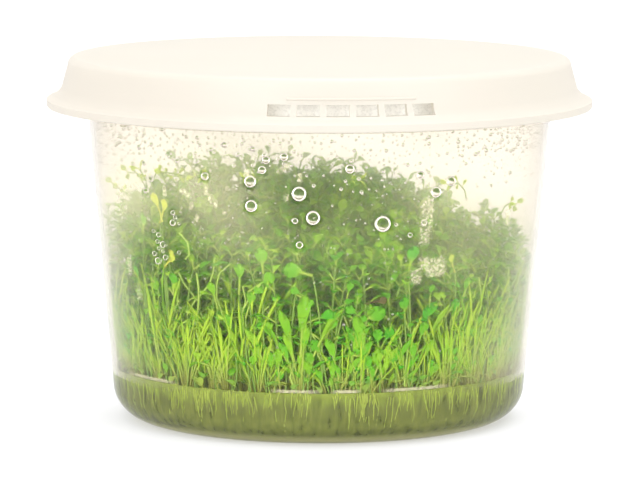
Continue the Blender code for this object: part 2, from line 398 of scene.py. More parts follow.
# %% Make and run a node tree
def tree_with(name, sockets):
    """A geometry node group with a Geometry in and out and the named inputs."""
    tree = bpy.data.node_groups.new(name, "GeometryNodeTree")
    tree.interface.new_socket("Geometry", in_out="INPUT", socket_type="NodeSocketGeometry")
    tree.interface.new_socket("Geometry", in_out="OUTPUT", socket_type="NodeSocketGeometry")
    for socket, kind in sockets.items():
        tree.interface.new_socket(socket, in_out="INPUT", socket_type="NodeSocket" + kind)
    return tree, add_node(tree, "NodeGroupInput").outputs, add_node(tree, "NodeGroupOutput").inputs


def evaluated_mesh(holder):
    """The mesh of an object with its modifiers or its bevel applied."""
    return bpy.data.meshes.new_from_object(holder.evaluated_get(bpy.context.evaluated_depsgraph_get()))


def grown(name, mesh, tree, values):
    """Runs a node group on a mesh and gives back the result as a plain mesh."""
    holder = into_scene(name, mesh)
    modifier = holder.modifiers.new("nodes", "NODES")
    modifier.node_group = tree
    for socket in tree.interface.items_tree:
        if socket.in_out == "INPUT" and socket.name in values:
            modifier[socket.identifier] = values[socket.name]
    result = evaluated_mesh(holder)
    holder.modifiers.clear()
    bpy.data.objects.remove(holder)
    result.name = name
    return result


print("node tree helpers:", tree_with.__name__, "and", grown.__name__)

# %% [markdown]
# ## The row of slots
#
# In the mould, core pins keep the slots empty, and here boxes stand in for the pins. A mesh line gives a point
# for each slot. The nodes lay the points on an arc, with the pitch measured along it, and turn a box to face
# outwards at each.

# %% The tamper row's tree
def tamper_tree():
    """Boxes along an arc, one for each slot."""
    tree, given, result = tree_with("tamper_row", {
        "Count": "Int", "Radius": "Float", "Level": "Float", "Pitch": "Float", "Size": "Vector",
        "Middle": "Float", "Material": "Material",
    })
    line = add_node(tree, "GeometryNodeMeshLine", {"mode": "OFFSET"}, {"Count": given["Count"]})
    index = add_node(tree, "GeometryNodeInputIndex")
    half = add_node(tree, "ShaderNodeMath", {"operation": "MULTIPLY_ADD"}, {
        0: given["Count"], 1: 0.5, 2: -0.5})
    step = add_node(tree, "ShaderNodeMath", {"operation": "SUBTRACT"}, {
        0: index.outputs[0], 1: half.outputs[0]})
    pitch = add_node(tree, "ShaderNodeMath", {"operation": "DIVIDE"}, {0: given["Pitch"], 1: given["Radius"]})
    turn = add_node(tree, "ShaderNodeMath", {"operation": "MULTIPLY_ADD"}, {
        0: step.outputs[0], 1: pitch.outputs[0], 2: given["Middle"]})
    cosine = add_node(tree, "ShaderNodeMath", {"operation": "COSINE"}, {0: turn.outputs[0]})
    sine = add_node(tree, "ShaderNodeMath", {"operation": "SINE"}, {0: turn.outputs[0]})
    out = add_node(tree, "ShaderNodeCombineXYZ", None, {"X": cosine.outputs[0], "Y": sine.outputs[0]})
    reach = add_node(tree, "ShaderNodeVectorMath", {"operation": "SCALE"}, {
        0: out.outputs[0], "Scale": given["Radius"]})
    level = add_node(tree, "ShaderNodeCombineXYZ", None, {"Z": given["Level"]})
    spot = add_node(tree, "ShaderNodeVectorMath", {"operation": "ADD"}, {
        0: reach.outputs[0], 1: level.outputs[0]})
    placed = add_node(tree, "GeometryNodeSetPosition", None, {
        "Geometry": line.outputs["Mesh"], "Position": spot.outputs[0]})
    box = add_node(tree, "GeometryNodeMeshCube", None, {"Size": given["Size"]})
    facing = add_node(tree, "ShaderNodeMath", {"operation": "ADD"}, {0: turn.outputs[0], 1: math.pi / 2})
    spin = add_node(tree, "FunctionNodeAxisAngleToRotation", None, {
        "Axis": (0, 0, 1), "Angle": facing.outputs[0]})
    row = add_node(tree, "GeometryNodeInstanceOnPoints", None, {
        "Points": placed.outputs["Geometry"], "Instance": box.outputs["Mesh"],
        "Rotation": spin.outputs["Rotation"]})
    real = add_node(tree, "GeometryNodeRealizeInstances", None, {0: row.outputs["Instances"]})
    dressed = add_node(tree, "GeometryNodeSetMaterial", None, {
        0: real.outputs["Geometry"], "Material": given["Material"]})
    tree.links.new(dressed.outputs["Geometry"], result["Geometry"])
    return tree


slot_cutters = into_scene("slot_cutters", grown("slot_cutters", bpy.data.meshes.new("seed"), tamper_tree(), {
    "Count": SLOT_COUNT, "Radius": SLOT_RADIUS * MM, "Level": SLOT_LEVEL * MM, "Pitch": SLOT_PITCH * MM,
    "Size": [s * MM for s in SLOT_SIZE], "Middle": TAMPER_TURN, "Material": milky}))
print("slot cutters", len(slot_cutters.data.polygons), "faces")

# %% [markdown]
# ## The bead above the slots
#
# The bead is a thin rod along the lid's wall: a curve with a round bevel and filled ends. The ends come apart
# from the tube, and a Boolean needs a closed solid, so the mesh is welded first.

# %% The bead
bead_curve = bpy.data.curves.new("bead", "CURVE")
bead_curve.dimensions = "3D"
bead_curve.bevel_depth = BEAD_SIZE * MM
bead_curve.bevel_resolution = 3
bead_curve.use_fill_caps = True
bead_line = bead_curve.splines.new("POLY")
bead_line.points.add(BEAD_STEPS)
for i, point in enumerate(bead_line.points):
    angle = TAMPER_TURN + BEAD_SPAN * (i / BEAD_STEPS - 0.5)
    point.co = (BEAD_RADIUS * math.cos(angle) * MM, BEAD_RADIUS * math.sin(angle) * MM, BEAD_LEVEL * MM, 1)
bead = into_scene("bead", bead_curve)
bead_mesh = evaluated_mesh(bead)
welded = bmesh.new()
welded.from_mesh(bead_mesh)
bmesh.ops.remove_doubles(welded, verts=welded.verts, dist=WELD * MM)
bmesh.ops.recalc_face_normals(welded, faces=welded.faces)
welded.to_mesh(bead_mesh)
welded.free()
bead_solid = into_scene("bead_solid", bead_mesh)
print("bead", len(bead_mesh.polygons), "faces")

# %% [markdown]
# ## Cutting the lid
#
# Two Boolean modifiers on the turned blank take the boxes out and join the bead on. The result is kept as a
# plain mesh, and the tools are thrown away.

# %% Cut the slots and add the bead
blank = into_scene("lid_blank", turned("lid_blank", LID_PROFILE))
for tool, operation in ((slot_cutters, "DIFFERENCE"), (bead_solid, "UNION")):
    cut = blank.modifiers.new(tool.name, "BOOLEAN")
    cut.object = tool
    cut.operation = operation
    cut.solver = "EXACT"
lid_mesh = evaluated_mesh(blank)
for leftover in (blank, slot_cutters, bead, bead_solid):
    bpy.data.objects.remove(leftover)
lid_mesh.name = "lid_shell"
lid = new_piece("lid_shell", polished(lid_mesh), milky)
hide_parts("lid")

# %% [markdown]
# ## Agar gel
#
# The growing medium is nutrient agar, a cloudy olive jelly about twelve millimetres deep that creeps a little
# way up the wall. Light passes it, but not cleanly, so a little under half of the surface is clear, with an
# index just above that of water, and the rest is diffuse. Streaks that run down through it come from old roots.
# Its top takes the leaves' green where the crowns sit in it, and its foot is painted pale, for the light of the
# lit table that shines in. Gel wets plastic, so its edge goes a twentieth of a millimetre into the wall and
# leaves no gap of air.

# %% Agar gel
GEL_LEVEL = 11.7
GEL_CONTACT = 0.05
GEL_EDGE = inner_radius(GEL_LEVEL) + GEL_CONTACT


def agar_gel():
    """Cloudy olive jelly, streaked from top to bottom."""
    material, tree, output = new_material("cast_agar_gel")
    place = add_node(tree, "ShaderNodeTexCoord")
    stretch = add_node(tree, "ShaderNodeMapping", None, {
        "Vector": place.outputs["Object"], "Scale": (1.0, 1.0, 0.16)})
    streak = add_node(tree, "ShaderNodeTexNoise", None, {
        "Vector": stretch.outputs["Vector"],
        "Scale": 1 / (1.3 * MM),  # streaks as wide as a bundle of roots
        "Detail": 4.0,
        "Roughness": 0.6,
    })
    tone = add_node(tree, "ShaderNodeValToRGB", None, {"Fac": streak.outputs["Fac"]})
    ramp = tone.color_ramp
    ramp.elements[0].position = 0.30
    ramp.elements[0].color = srgb("#54602a")
    ramp.elements[1].position = 0.72
    ramp.elements[1].color = srgb("#8b9748")
    height = add_node(tree, "ShaderNodeSeparateXYZ", None, {0: place.outputs["Object"]})
    depth = add_node(tree, "ShaderNodeMath", {"operation": "MULTIPLY_ADD"}, {
        0: streak.outputs["Fac"], 1: 9.0 * MM, 2: height.outputs["Z"]})
    crowns = add_node(tree, "ShaderNodeMapRange", {"interpolation_type": "SMOOTHSTEP"}, {
        "Value": depth.outputs[0], "From Min": 13.0 * MM, "From Max": 17.5 * MM, "To Max": 0.8})
    body = add_node(tree, "ShaderNodeMix", {"data_type": "RGBA"}, {
        "Factor": crowns.outputs["Result"], 6: tone.outputs["Color"], 7: srgb("#a3c04a")})
    # painted light: the lowest few millimetres of the gel are made paler, for the table's light shining into
    # its foot
    foot = add_node(tree, "ShaderNodeMapRange", {"interpolation_type": "SMOOTHSTEP"}, {
        "Value": height.outputs["Z"], "From Min": 1.1 * MM, "From Max": 2.8 * MM,
        "To Min": 0.85, "To Max": 0.0})
    painted_lit_foot = add_node(tree, "ShaderNodeMix", {"data_type": "RGBA"}, {
        "Factor": foot.outputs["Result"], 6: body.outputs[2], 7: srgb("#e6ea9c")})
    surface = add_node(tree, "ShaderNodeBsdfPrincipled", None, {
        "Base Color": painted_lit_foot.outputs[2],
        "Roughness": 0.12,
        "IOR": 1.34,
        "Transmission Weight": 0.45,
    })
    tree.links.new(surface.outputs["BSDF"], output.inputs["Surface"])
    return material


GEL_PROFILE = (
    [(0, GEL_LEVEL), (GEL_EDGE - 3.0, GEL_LEVEL)]
    + [(GEL_EDGE - 1.6, 11.8), (GEL_EDGE - 0.7, 12.05), (GEL_EDGE - 0.2, 12.4), (GEL_EDGE, 12.6)]  # creeps up
    + [(inner_radius(CORNER) + GEL_CONTACT, CORNER)]
    + arc(BASE_RADIUS, CORNER, CORNER - WALL + GEL_CONTACT, 0, -90) + [(0, WALL - GEL_CONTACT)]
)
gel = new_piece("gel_disc", turned("gel_disc", GEL_PROFILE), agar_gel())
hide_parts("gel")

# %% [markdown]
# ## Places on the wall
#
# Everything that lies on the inside of the wall and stands out in the picture is placed one by one: the pixel
# it is seen at is followed back to the wall. The ray from the camera is met with the cone of the wall's inside,
# and because that cone's radius depends on the height, a few rounds of correction settle it.

# %% From a pixel to the wall
FIRST_GUESS = 40.0  # height in millimetres that the correction starts from
ROUNDS = 12


def wall_point(column, row, inset=0.1):
    """The point of the near inside wall behind a pixel, moved inwards by some millimetres."""
    ray = pixel_ray(column, row)
    height = FIRST_GUESS
    for _ in range(ROUNDS):
        radius = (inner_radius(height) - inset) * MM
        a = ray.x ** 2 + ray.y ** 2
        b = EYE.x * ray.x + EYE.y * ray.y
        c = EYE.x ** 2 + EYE.y ** 2 - radius ** 2
        root = max(0.0, b * b - a * c)
        place = EYE + ray * ((-b - math.sqrt(root)) / a)
        height = place.z / MM
    return place


def azimuth(place):
    """How far a point is turned to the right of the front, in radians."""
    return math.atan2(place.x, -place.y)


print("row 250 meets the wall", round(wall_point(AXIS_COLUMN, 250).z / MM, 1), "mm up")

# %% [markdown]
# ## Where the large drops hang
#
# The large drops are made later, but their places are needed first, because the leaves behind a drop leave
# room for it. Those of the near wall are listed pixel by pixel, and a seeded draw scatters some on the far
# side. They are kept as the points of one mesh, each with the drop's radius, which a node tree can read.

# %% Places of the large drops
LARGE_DROPS = (
    # column, row and radius in pixels
    (250, 181.5, 6), (251, 206, 6), (262, 170, 4), (284, 157, 4), (266, 160, 4), (299, 194, 7.3), (313, 218, 7),
    (383, 224, 8), (295, 221, 3), (299.5, 245, 3.5), (350, 169, 4.6), (420.5, 175, 4), (451, 181, 5),
    (436, 192, 5.5), (424, 223, 3), (410, 235, 2.5), (154, 231, 2), (159, 234.7, 2.6), (158, 241.3, 2.2),
    (163.3, 244.3, 3.4), (159.5, 248.2, 2), (155, 253.3, 2.6), (163.5, 251, 2), (165.8, 257.3, 2.8),
    (158.5, 260.6, 3.6), (173.3, 212.7, 2.5), (175.3, 217.2, 2), (173, 222.7, 3.3), (179.4, 252.3, 2),
    (146.4, 190.5, 3), (151.3, 179.3, 2.8), (144.4, 163.3, 2.1), (177.6, 161, 2.4), (205, 176.2, 4),
    (224.7, 145, 3), (253, 149.2, 2.6), (237.8, 155.3, 1.6), (197, 161.7, 1.6), (168.9, 156.1, 1.6),
    (151.5, 144.4, 2), (139.8, 147.7, 2), (211, 149.4, 2), (200, 145.1, 1.8), (242.3, 143.6, 1.8),
)
DAMP_SEED = 5
FAR_DROPS = 26
DROP_INSET = 0.1  # a drop's foot lies this far inside the wall

chance = random.Random(DAMP_SEED)
far_drops = [(math.radians(chance.uniform(120, 240)), chance.uniform(28, 46), chance.uniform(0.5, 1.6))
             for _ in range(FAR_DROPS)]
drops = [(wall_point(column, row, DROP_INSET), radius * PIXEL) for column, row, radius in LARGE_DROPS]
for turn, level, radius in far_drops:
    reach = inner_radius(level) - DROP_INSET
    drops.append((Vector((math.sin(turn) * reach, -math.cos(turn) * reach, level)) * MM, radius * MM))
drop_mesh = bpy.data.meshes.new("drop_spots")
drop_mesh.from_pydata([place for place, _ in drops], [], [])
drop_mesh.attributes.new("radius", "FLOAT", "POINT").data.foreach_set("value", [radius for _, radius in drops])
drop_spots = bpy.data.objects.new("drop_spots", drop_mesh)
print("large drops", len(drops))

# %% [markdown]
# ## One leaf
#
# A leaf of this plant is a little spoon: a thin stalk that widens into a rounded blade. The model needs
# thousands, so one leaf has only a few dozen faces: a section of four corners, left and right margin, a sunk
# midrib above and a keel below, is carried along a line that bends outwards. It is closed, as a real leaf is a
# solid thing. Four forms are made. Each leaf is one unit long and grows up Z, and the scale comes with the
# copy. Every point keeps how far along the leaf it is, which tells the material where the pale stalk ends. A
# power above one keeps the narrow leaves pale for longer.

# %% How a leaf is shaped
LEAF_FORMS = {
    # share of the length and half width, where the tip follows by itself; the bend in degrees; and the power
    "leaf_0_spoon": (((0, .040), (.25, .030), (.46, .036), (.58, .100), (.73, .158), (.88, .118)), 62, 1.0),
    "leaf_1_round": (((0, .055), (.18, .040), (.34, .060), (.48, .170), (.67, .235), (.86, .170)), 48, 1.0),
    "leaf_2_strap": (((0, .008), (.28, .006), (.50, .007), (.68, .008), (.85, .010), (.96, .006)), 28, 1.5),
    "leaf_3_paddle": (((0, .014), (.36, .010), (.60, .012), (.72, .042), (.83, .060), (.93, .042)), 40, 1.7),
}
SPOON, ROUND, STRAP, PADDLE = range(len(LEAF_FORMS))
BEND_START = 0.3  # share of the length that stays straight
STALK_END = 0.45  # share of the length where the blade starts
OPENING = 0.12  # share of the length over which the stalk flattens into the blade
BLADE_DEPTH = 0.022
DISH = 0.22  # how far the margins rise, as a share of the half width
STALK_RIDGE = 0.8
MARGINS = (0, 2)  # which corners of the section are the margins


def leaf_form(name, stations, bend, late):
    """A closed leaf one unit long, with its place along the blade kept as an attribute."""
    shape = bmesh.new()
    along = shape.verts.layers.float.new("along")
    centre = Vector((0, 0, 0))
    last = 0.0
    rings = []
    for share, half in stations:
        lean = math.radians(bend) * max(0.0, (share - BEND_START) / (1 - BEND_START)) ** 1.2
        heading = Vector((math.sin(lean), 0, math.cos(lean)))
        above = Vector((-math.cos(lean), 0, math.sin(lean)))
        centre = centre + heading * (share - last)
        last = share
        blade = min(1.0, max(0.0, (share - STALK_END) / OPENING))
        depth = half * (1 - blade) + BLADE_DEPTH * blade
        side = Vector((0, half, 0))
        rise = above * half * DISH * blade
        corners = (centre + side + rise, centre + above * (depth * STALK_RIDGE * (1 - blade)),
                   centre - side + rise, centre - above * depth)
        ring = [shape.verts.new(corner) for corner in corners]
        for vert in ring:
            vert[along] = share ** late
        rings.append(ring)
    tip = shape.verts.new(centre + heading * (1 - last))
    tip[along] = 1.0
    for lower, upper in zip(rings, rings[1:]):
        for i in range(4):
            shape.faces.new((lower[i], lower[(i + 1) % 4], upper[(i + 1) % 4], upper[i]))
    shape.faces.new(rings[0][::-1])
    for i in range(4):
        shape.faces.new((rings[-1][i], rings[-1][(i + 1) % 4], tip))
    bmesh.ops.recalc_face_normals(shape, faces=shape.faces)
    for face in shape.faces:
        face.smooth = True
    for edge in shape.edges:  # the margins of the blade stay crisp
        ends = [(r, ring.index(v)) for v in edge.verts for r, ring in enumerate(rings) if v in ring]
        if len(ends) == 2 and ends[0][1] == ends[1][1] and ends[0][1] in MARGINS:
            edge.smooth = max(r for r, _ in ends) <= 2
    mesh = bpy.data.meshes.new(name)
    shape.to_mesh(mesh)
    shape.free()
    return mesh


leaf_shelf = bpy.data.collections.new("leaf_forms")
for form_name, (stations, bend, late) in LEAF_FORMS.items():
    leaf_shelf.objects.link(bpy.data.objects.new(form_name, leaf_form(form_name, stations, bend, late)))

# %% [markdown]
# ## Leaf tissue
#
# A living leaf is a thin, waxy sheet full of water. Light that falls on one side glows out of the other, so a
# translucent shader is mixed with a slightly glossy one. Old leaves are deep green, young ones and those
# against the light are yellow green, the stalks are pale, and a few leaves have gone yellow and then brown.
# Those facts arrive as attributes that the node tree writes on every copy; a low tint is partly painted shade.
# Close to the gel everything is a little brown, by its height alone.

# %% Leaf tissue
def leaf_tissue():
    """Leaf green from four attributes: tint and shade for youth, a low tint partly as painted shade, along for
    the stalk, wither for decay.
    """
    material, tree, output = new_material("living_leaf_tissue")
    tint = add_node(tree, "ShaderNodeAttribute", {"attribute_name": "tint"})
    shade = add_node(tree, "ShaderNodeAttribute", {"attribute_name": "shade"})
    along = add_node(tree, "ShaderNodeAttribute", {"attribute_name": "along"})
    wither = add_node(tree, "ShaderNodeAttribute", {"attribute_name": "wither"})
    place = add_node(tree, "ShaderNodeTexCoord")
    mottle = add_node(tree, "ShaderNodeTexNoise", None, {
        "Vector": place.outputs["Object"],
        "Scale": 1 / (1.2 * MM),  # soft patches a millimetre across
        "Detail": 2.0,
    })
    youth = add_node(tree, "ShaderNodeMath", {"operation": "ADD"}, {
        0: tint.outputs["Fac"], 1: shade.outputs["Fac"]})
    patch = add_node(tree, "ShaderNodeMath", {"operation": "MULTIPLY_ADD", "use_clamp": True}, {
        0: mottle.outputs["Fac"], 1: 0.24, 2: youth.outputs[0]})
    green = add_node(tree, "ShaderNodeValToRGB", None, {"Fac": patch.outputs[0]})
    ramp = green.color_ramp
    ramp.elements[0].position = 0.0
    ramp.elements[0].color = srgb("#4ec62a")
    ramp.elements[1].position = 1.0
    ramp.elements[1].color = srgb("#ccf048")
    middle = ramp.elements.new(0.5)
    middle.color = srgb("#8ad42e")
    blade = add_node(tree, "ShaderNodeMapRange", {"interpolation_type": "SMOOTHSTEP"}, {
        "Value": along.outputs["Fac"], "From Min": 0.25, "From Max": 0.58})
    stalk = add_node(tree, "ShaderNodeMix", {"data_type": "RGBA"}, {
        "Factor": youth.outputs[0], 6: srgb("#b8dc58"), 7: srgb("#d8f07c")})
    living = add_node(tree, "ShaderNodeMix", {"data_type": "RGBA"}, {
        "Factor": blade.outputs["Result"], 6: stalk.outputs[2], 7: green.outputs["Color"]})
    yellowed = add_node(tree, "ShaderNodeMix", {"data_type": "RGBA"}, {
        "Factor": wither.outputs["Fac"], 6: living.outputs[2], 7: srgb("#f4f86e")})
    past_yellow = add_node(tree, "ShaderNodeMath", {"operation": "SUBTRACT", "use_clamp": True}, {
        0: wither.outputs["Fac"], 1: 1.0})
    browned = add_node(tree, "ShaderNodeMix", {"data_type": "RGBA"}, {
        "Factor": past_yellow.outputs[0], 6: yellowed.outputs[2], 7: srgb("#6f6a3a")})
    height = add_node(tree, "ShaderNodeSeparateXYZ", None, {0: place.outputs["Object"]})
    base = add_node(tree, "ShaderNodeMapRange", {"interpolation_type": "SMOOTHSTEP"}, {
        "Value": height.outputs["Z"], "From Min": 12.0 * MM, "From Max": 18.0 * MM,
        "To Min": 0.6, "To Max": 0.0})
    based = add_node(tree, "ShaderNodeMix", {"data_type": "RGBA"}, {
        "Factor": base.outputs["Result"], 6: browned.outputs[2], 7: srgb("#b4ac66")})
    surface = add_node(tree, "ShaderNodeBsdfPrincipled", None, {
        "Base Color": based.outputs[2],
        "Roughness": 0.45,
        "IOR": 1.42,
        "Specular IOR Level": 0.12,
    })
    glow = add_node(tree, "ShaderNodeBsdfTranslucent", None, {"Color": based.outputs[2]})
    both = add_node(tree, "ShaderNodeMixShader", None, {
        0: 0.5, 1: surface.outputs["BSDF"], 2: glow.outputs["BSDF"]})
    tree.links.new(both.outputs["Shader"], output.inputs["Surface"])
    return material


leaf_material = leaf_tissue()
print(leaf_material.name, len(leaf_material.node_tree.nodes), "nodes")

# %% [markdown]
# ## Stem, stalk and root tissue
#
# Stems, bare stalks and roots are the same juicy tissue with less green in it, the palest where no light gets
# to it. One function makes all three, each from its lightest and darkest colour.

# %% Stem, stalk and root tissue
def stem_tissue(name, light, dark):
    """Pale plant tissue, mottled between two colours every two millimetres or so."""
    material, tree, output = new_material(name)
    place = add_node(tree, "ShaderNodeTexCoord")
    mottle = add_node(tree, "ShaderNodeTexNoise", None, {
        "Vector": place.outputs["Object"], "Scale": 1 / (2.0 * MM), "Detail": 2.0})
    tone = add_node(tree, "ShaderNodeMix", {"data_type": "RGBA"}, {
        "Factor": mottle.outputs["Fac"], 6: srgb(light), 7: srgb(dark)})
    surface = add_node(tree, "ShaderNodeBsdfPrincipled", None, {
        "Base Color": tone.outputs[2], "Roughness": 0.45, "IOR": 1.4, "Specular IOR Level": 0.2})
    glow = add_node(tree, "ShaderNodeBsdfTranslucent", None, {"Color": tone.outputs[2]})
    both = add_node(tree, "ShaderNodeMixShader", None, {
        0: 0.4, 1: surface.outputs["BSDF"], 2: glow.outputs["BSDF"]})
    tree.links.new(both.outputs["Shader"], output.inputs["Surface"])
    return material


stem_material = stem_tissue("living_stem_tissue", "#a4c860", "#74ac42")
stalk_material = stem_tissue("living_stalk_tissue", "#d6f084", "#b2de5c")
root_material = stem_tissue("living_root_tissue", "#c8d86c", "#9cb448")
print("pale tissues", [m.name for m in (stem_material, stalk_material, root_material)])

# %% [markdown]
# ## Leaves in pairs
#
# Everything that grows here follows one rule: a stem carries leaves in opposite pairs. The stems come as chains
# of points, and at each point the tree sets two copies of a leaf form, half a turn apart, by the size, turn and
# tilt that the point carries. Seeded random numbers loosen each copy, and a point that is marked loose gets
# more of it. The second leaf comes only where the point is paired.

# %% The leaves of the tree
CARRIED = ("size", "turn", "tilt", "tint", "wither", "thick", "paired", "loose")  # numbers on every point
TINT_SPREAD = 0.16


def loosened(tree, seed, value, spread, offset):
    """value plus a random amount up to spread either way."""
    own_seed = add_node(tree, "ShaderNodeMath", {"operation": "ADD"}, {0: seed, 1: offset})
    chance = add_node(tree, "FunctionNodeRandomValue", {"data_type": "FLOAT"}, {
        2: -1.0, 3: 1.0, "Seed": own_seed.outputs[0]})
    return add_node(tree, "ShaderNodeMath", {"operation": "MULTIPLY_ADD"}, {
        0: chance.outputs[1], 1: spread, 2: value}).outputs[0]


def leaf_pairs(tree, given, carried):
    """Leaves at every point that carries a size, as one geometry."""
    seed = given["Seed"]
    forms = add_node(tree, "GeometryNodeCollectionInfo", None, {
        "Collection": given["Leaf Forms"], "Separate Children": True, "Reset Children": True})
    upright = add_node(tree, "FunctionNodeAlignRotationToVector", {"axis": "Z"}, {"Vector": carried["grow"]})
    has_leaf = add_node(tree, "FunctionNodeCompare", {"data_type": "FLOAT", "operation": "GREATER_THAN"}, {
        0: carried["size"], 1: 0.0})
    paired = add_node(tree, "FunctionNodeCompare", {"data_type": "FLOAT", "operation": "GREATER_THAN"}, {
        0: carried["paired"], 1: 0.5})
    both = add_node(tree, "FunctionNodeBooleanMath", {"operation": "AND"}, {
        0: has_leaf.outputs[0], 1: paired.outputs[0]})
    slack = add_node(tree, "ShaderNodeMath", {"operation": "MULTIPLY"}, {
        0: given["Tilt Spread"], 1: carried["loose"]})
    copies = []
    for side, chosen in enumerate((has_leaf.outputs[0], both.outputs[0])):
        turn = add_node(tree, "ShaderNodeMath", {"operation": "ADD"}, {
            0: loosened(tree, seed, carried["turn"], given["Turn Spread"], 10 * side), 1: math.pi * side})
        about = add_node(tree, "FunctionNodeAxisAngleToRotation", None, {
            "Axis": (0, 0, 1), "Angle": turn.outputs[0]})
        lean = add_node(tree, "FunctionNodeAxisAngleToRotation", None, {
            "Axis": (0, 1, 0), "Angle": loosened(tree, seed, carried["tilt"], slack.outputs[0], 10 * side + 1)})
        turned_to = add_node(tree, "FunctionNodeRotateRotation", {"rotation_space": "LOCAL"}, {
            0: upright.outputs["Rotation"], 1: about.outputs["Rotation"]})
        leaned = add_node(tree, "FunctionNodeRotateRotation", {"rotation_space": "LOCAL"}, {
            0: turned_to.outputs["Rotation"], 1: lean.outputs["Rotation"]})
        share = loosened(tree, seed, 1.0, given["Size Spread"], 10 * side + 2)
        size = add_node(tree, "ShaderNodeMath", {"operation": "MULTIPLY"}, {0: carried["size"], 1: share})
        scale = add_node(tree, "ShaderNodeCombineXYZ", None, {
            "X": size.outputs[0], "Y": size.outputs[0], "Z": size.outputs[0]})
        leaves = add_node(tree, "GeometryNodeInstanceOnPoints", None, {
            "Points": given["Geometry"], "Selection": chosen, "Instance": forms.outputs["Instances"],
            "Pick Instance": True, "Instance Index": carried["form"],
            "Rotation": leaned.outputs["Rotation"], "Scale": scale.outputs[0]})
        shaded = add_node(tree, "GeometryNodeStoreNamedAttribute", {
            "data_type": "FLOAT", "domain": "INSTANCE"}, {
            "Geometry": leaves.outputs["Instances"], "Name": "shade",
            "Value": loosened(tree, seed, 0.0, TINT_SPREAD, 10 * side + 3)})
        copies.append(shaded.outputs["Geometry"])
    foliage = add_node(tree, "GeometryNodeJoinGeometry")
    for copy in copies:
        tree.links.new(copy, foliage.inputs[0])
    real = add_node(tree, "GeometryNodeRealizeInstances", None, {0: foliage.outputs[0]})
    green = add_node(tree, "GeometryNodeSetMaterial", None, {
        0: real.outputs["Geometry"], "Material": given["Leaf Material"]})
    return green.outputs["Geometry"]


print("each point of a stem carries", ", ".join(CARRIED))

# %% [markdown]
# ## Stems, and room for the wall and the drops
#
# The same tree runs a thin tube along each chain, as thick as its points say. Then it moves what would be in
# the way: a point past the tub's wall goes back to it, which presses those leaves flat on the wall, as they lie
# on the real one, and near a large drop everything steps back by up to 1.7 times the drop's radius.

# %% The stems of the tree, and its limits
def stem_tubes(tree, given, carried):
    """A closed tube along every chain of points."""
    chain = add_node(tree, "GeometryNodeMeshToCurve", None, {0: given["Geometry"]})
    section = add_node(tree, "GeometryNodeCurvePrimitiveCircle", None, {
        "Resolution": given["Sides"], "Radius": 1.0})
    tube = add_node(tree, "GeometryNodeCurveToMesh", None, {
        "Curve": chain.outputs["Curve"], "Profile Curve": section.outputs["Curve"],
        "Scale": carried["thick"], "Fill Caps": True})
    smooth = add_node(tree, "GeometryNodeSetShadeSmooth", None, {0: tube.outputs["Mesh"]})
    pale = add_node(tree, "GeometryNodeSetMaterial", None, {
        0: smooth.outputs[0], "Material": given["Stem Material"]})
    return pale.outputs["Geometry"]


def inside_position(tree, given, carried):
    """Where a point of the plant goes, so that it stays within the wall and clear of the drops."""
    place = add_node(tree, "GeometryNodeInputPosition")
    parts = add_node(tree, "ShaderNodeSeparateXYZ", None, {0: place.outputs[0]})
    flat = add_node(tree, "ShaderNodeCombineXYZ", None, {"X": parts.outputs["X"], "Y": parts.outputs["Y"]})
    reach = add_node(tree, "ShaderNodeVectorMath", {"operation": "LENGTH"}, {0: flat.outputs[0]})
    limit = add_node(tree, "ShaderNodeMath", {"operation": "MULTIPLY_ADD"}, {
        0: parts.outputs["Z"], 1: given["Wall Slope"], 2: given["Wall Radius"]})
    share = add_node(tree, "ShaderNodeMath", {"operation": "DIVIDE"}, {
        0: limit.outputs[0], 1: reach.outputs["Value"]})
    spots = add_node(tree, "GeometryNodeObjectInfo", None, {"Object": given["Drops"]}).outputs["Geometry"]
    nearest = add_node(tree, "GeometryNodeSampleNearest", {"domain": "POINT"}, {0: spots})
    at_drop = add_node(tree, "GeometryNodeSampleIndex", {"data_type": "FLOAT_VECTOR", "domain": "POINT"}, {
        "Geometry": spots, "Value": place.outputs[0], "Index": nearest.outputs[0]})
    drop_size = add_node(tree, "GeometryNodeSampleIndex", {"data_type": "FLOAT", "domain": "POINT"}, {
        "Geometry": spots, "Value": carried["radius"], "Index": nearest.outputs[0]})
    apart = add_node(tree, "ShaderNodeVectorMath", {"operation": "DISTANCE"}, {
        0: place.outputs[0], 1: at_drop.outputs[0]})
    in_drops = add_node(tree, "ShaderNodeMath", {"operation": "DIVIDE"}, {
        0: apart.outputs["Value"], 1: drop_size.outputs[0]})
    room = add_node(tree, "ShaderNodeMapRange", {"interpolation_type": "SMOOTHSTEP"}, {
        "Value": in_drops.outputs[0], "From Min": 1.1, "From Max": 2.2, "To Min": 1.7, "To Max": 0.0})
    push = add_node(tree, "ShaderNodeMath", {"operation": "MULTIPLY"}, {
        0: room.outputs["Result"], 1: drop_size.outputs[0]})
    back = add_node(tree, "ShaderNodeMath", {"operation": "DIVIDE"}, {
        0: push.outputs[0], 1: reach.outputs["Value"]})
    at_most = add_node(tree, "ShaderNodeMath", {"operation": "MINIMUM"}, {0: share.outputs[0], 1: 1.0})
    kept = add_node(tree, "ShaderNodeMath", {"operation": "SUBTRACT"}, {
        0: at_most.outputs[0], 1: back.outputs[0]})
    factor = add_node(tree, "ShaderNodeCombineXYZ", None, {
        "X": kept.outputs[0], "Y": kept.outputs[0], "Z": 1.0})
    pressed = add_node(tree, "ShaderNodeVectorMath", {"operation": "MULTIPLY"}, {
        0: place.outputs[0], 1: factor.outputs[0]})
    return pressed.outputs[0]


print("parts of the tree:", stem_tubes.__name__, "and", inside_position.__name__)

# %% [markdown]
# ## The whole tree
#
# The parts are put together into one tree with named inputs. It dresses every plant in the tub, and with other
# inputs the roots, the leaves on the wall and the bare stalks as well.

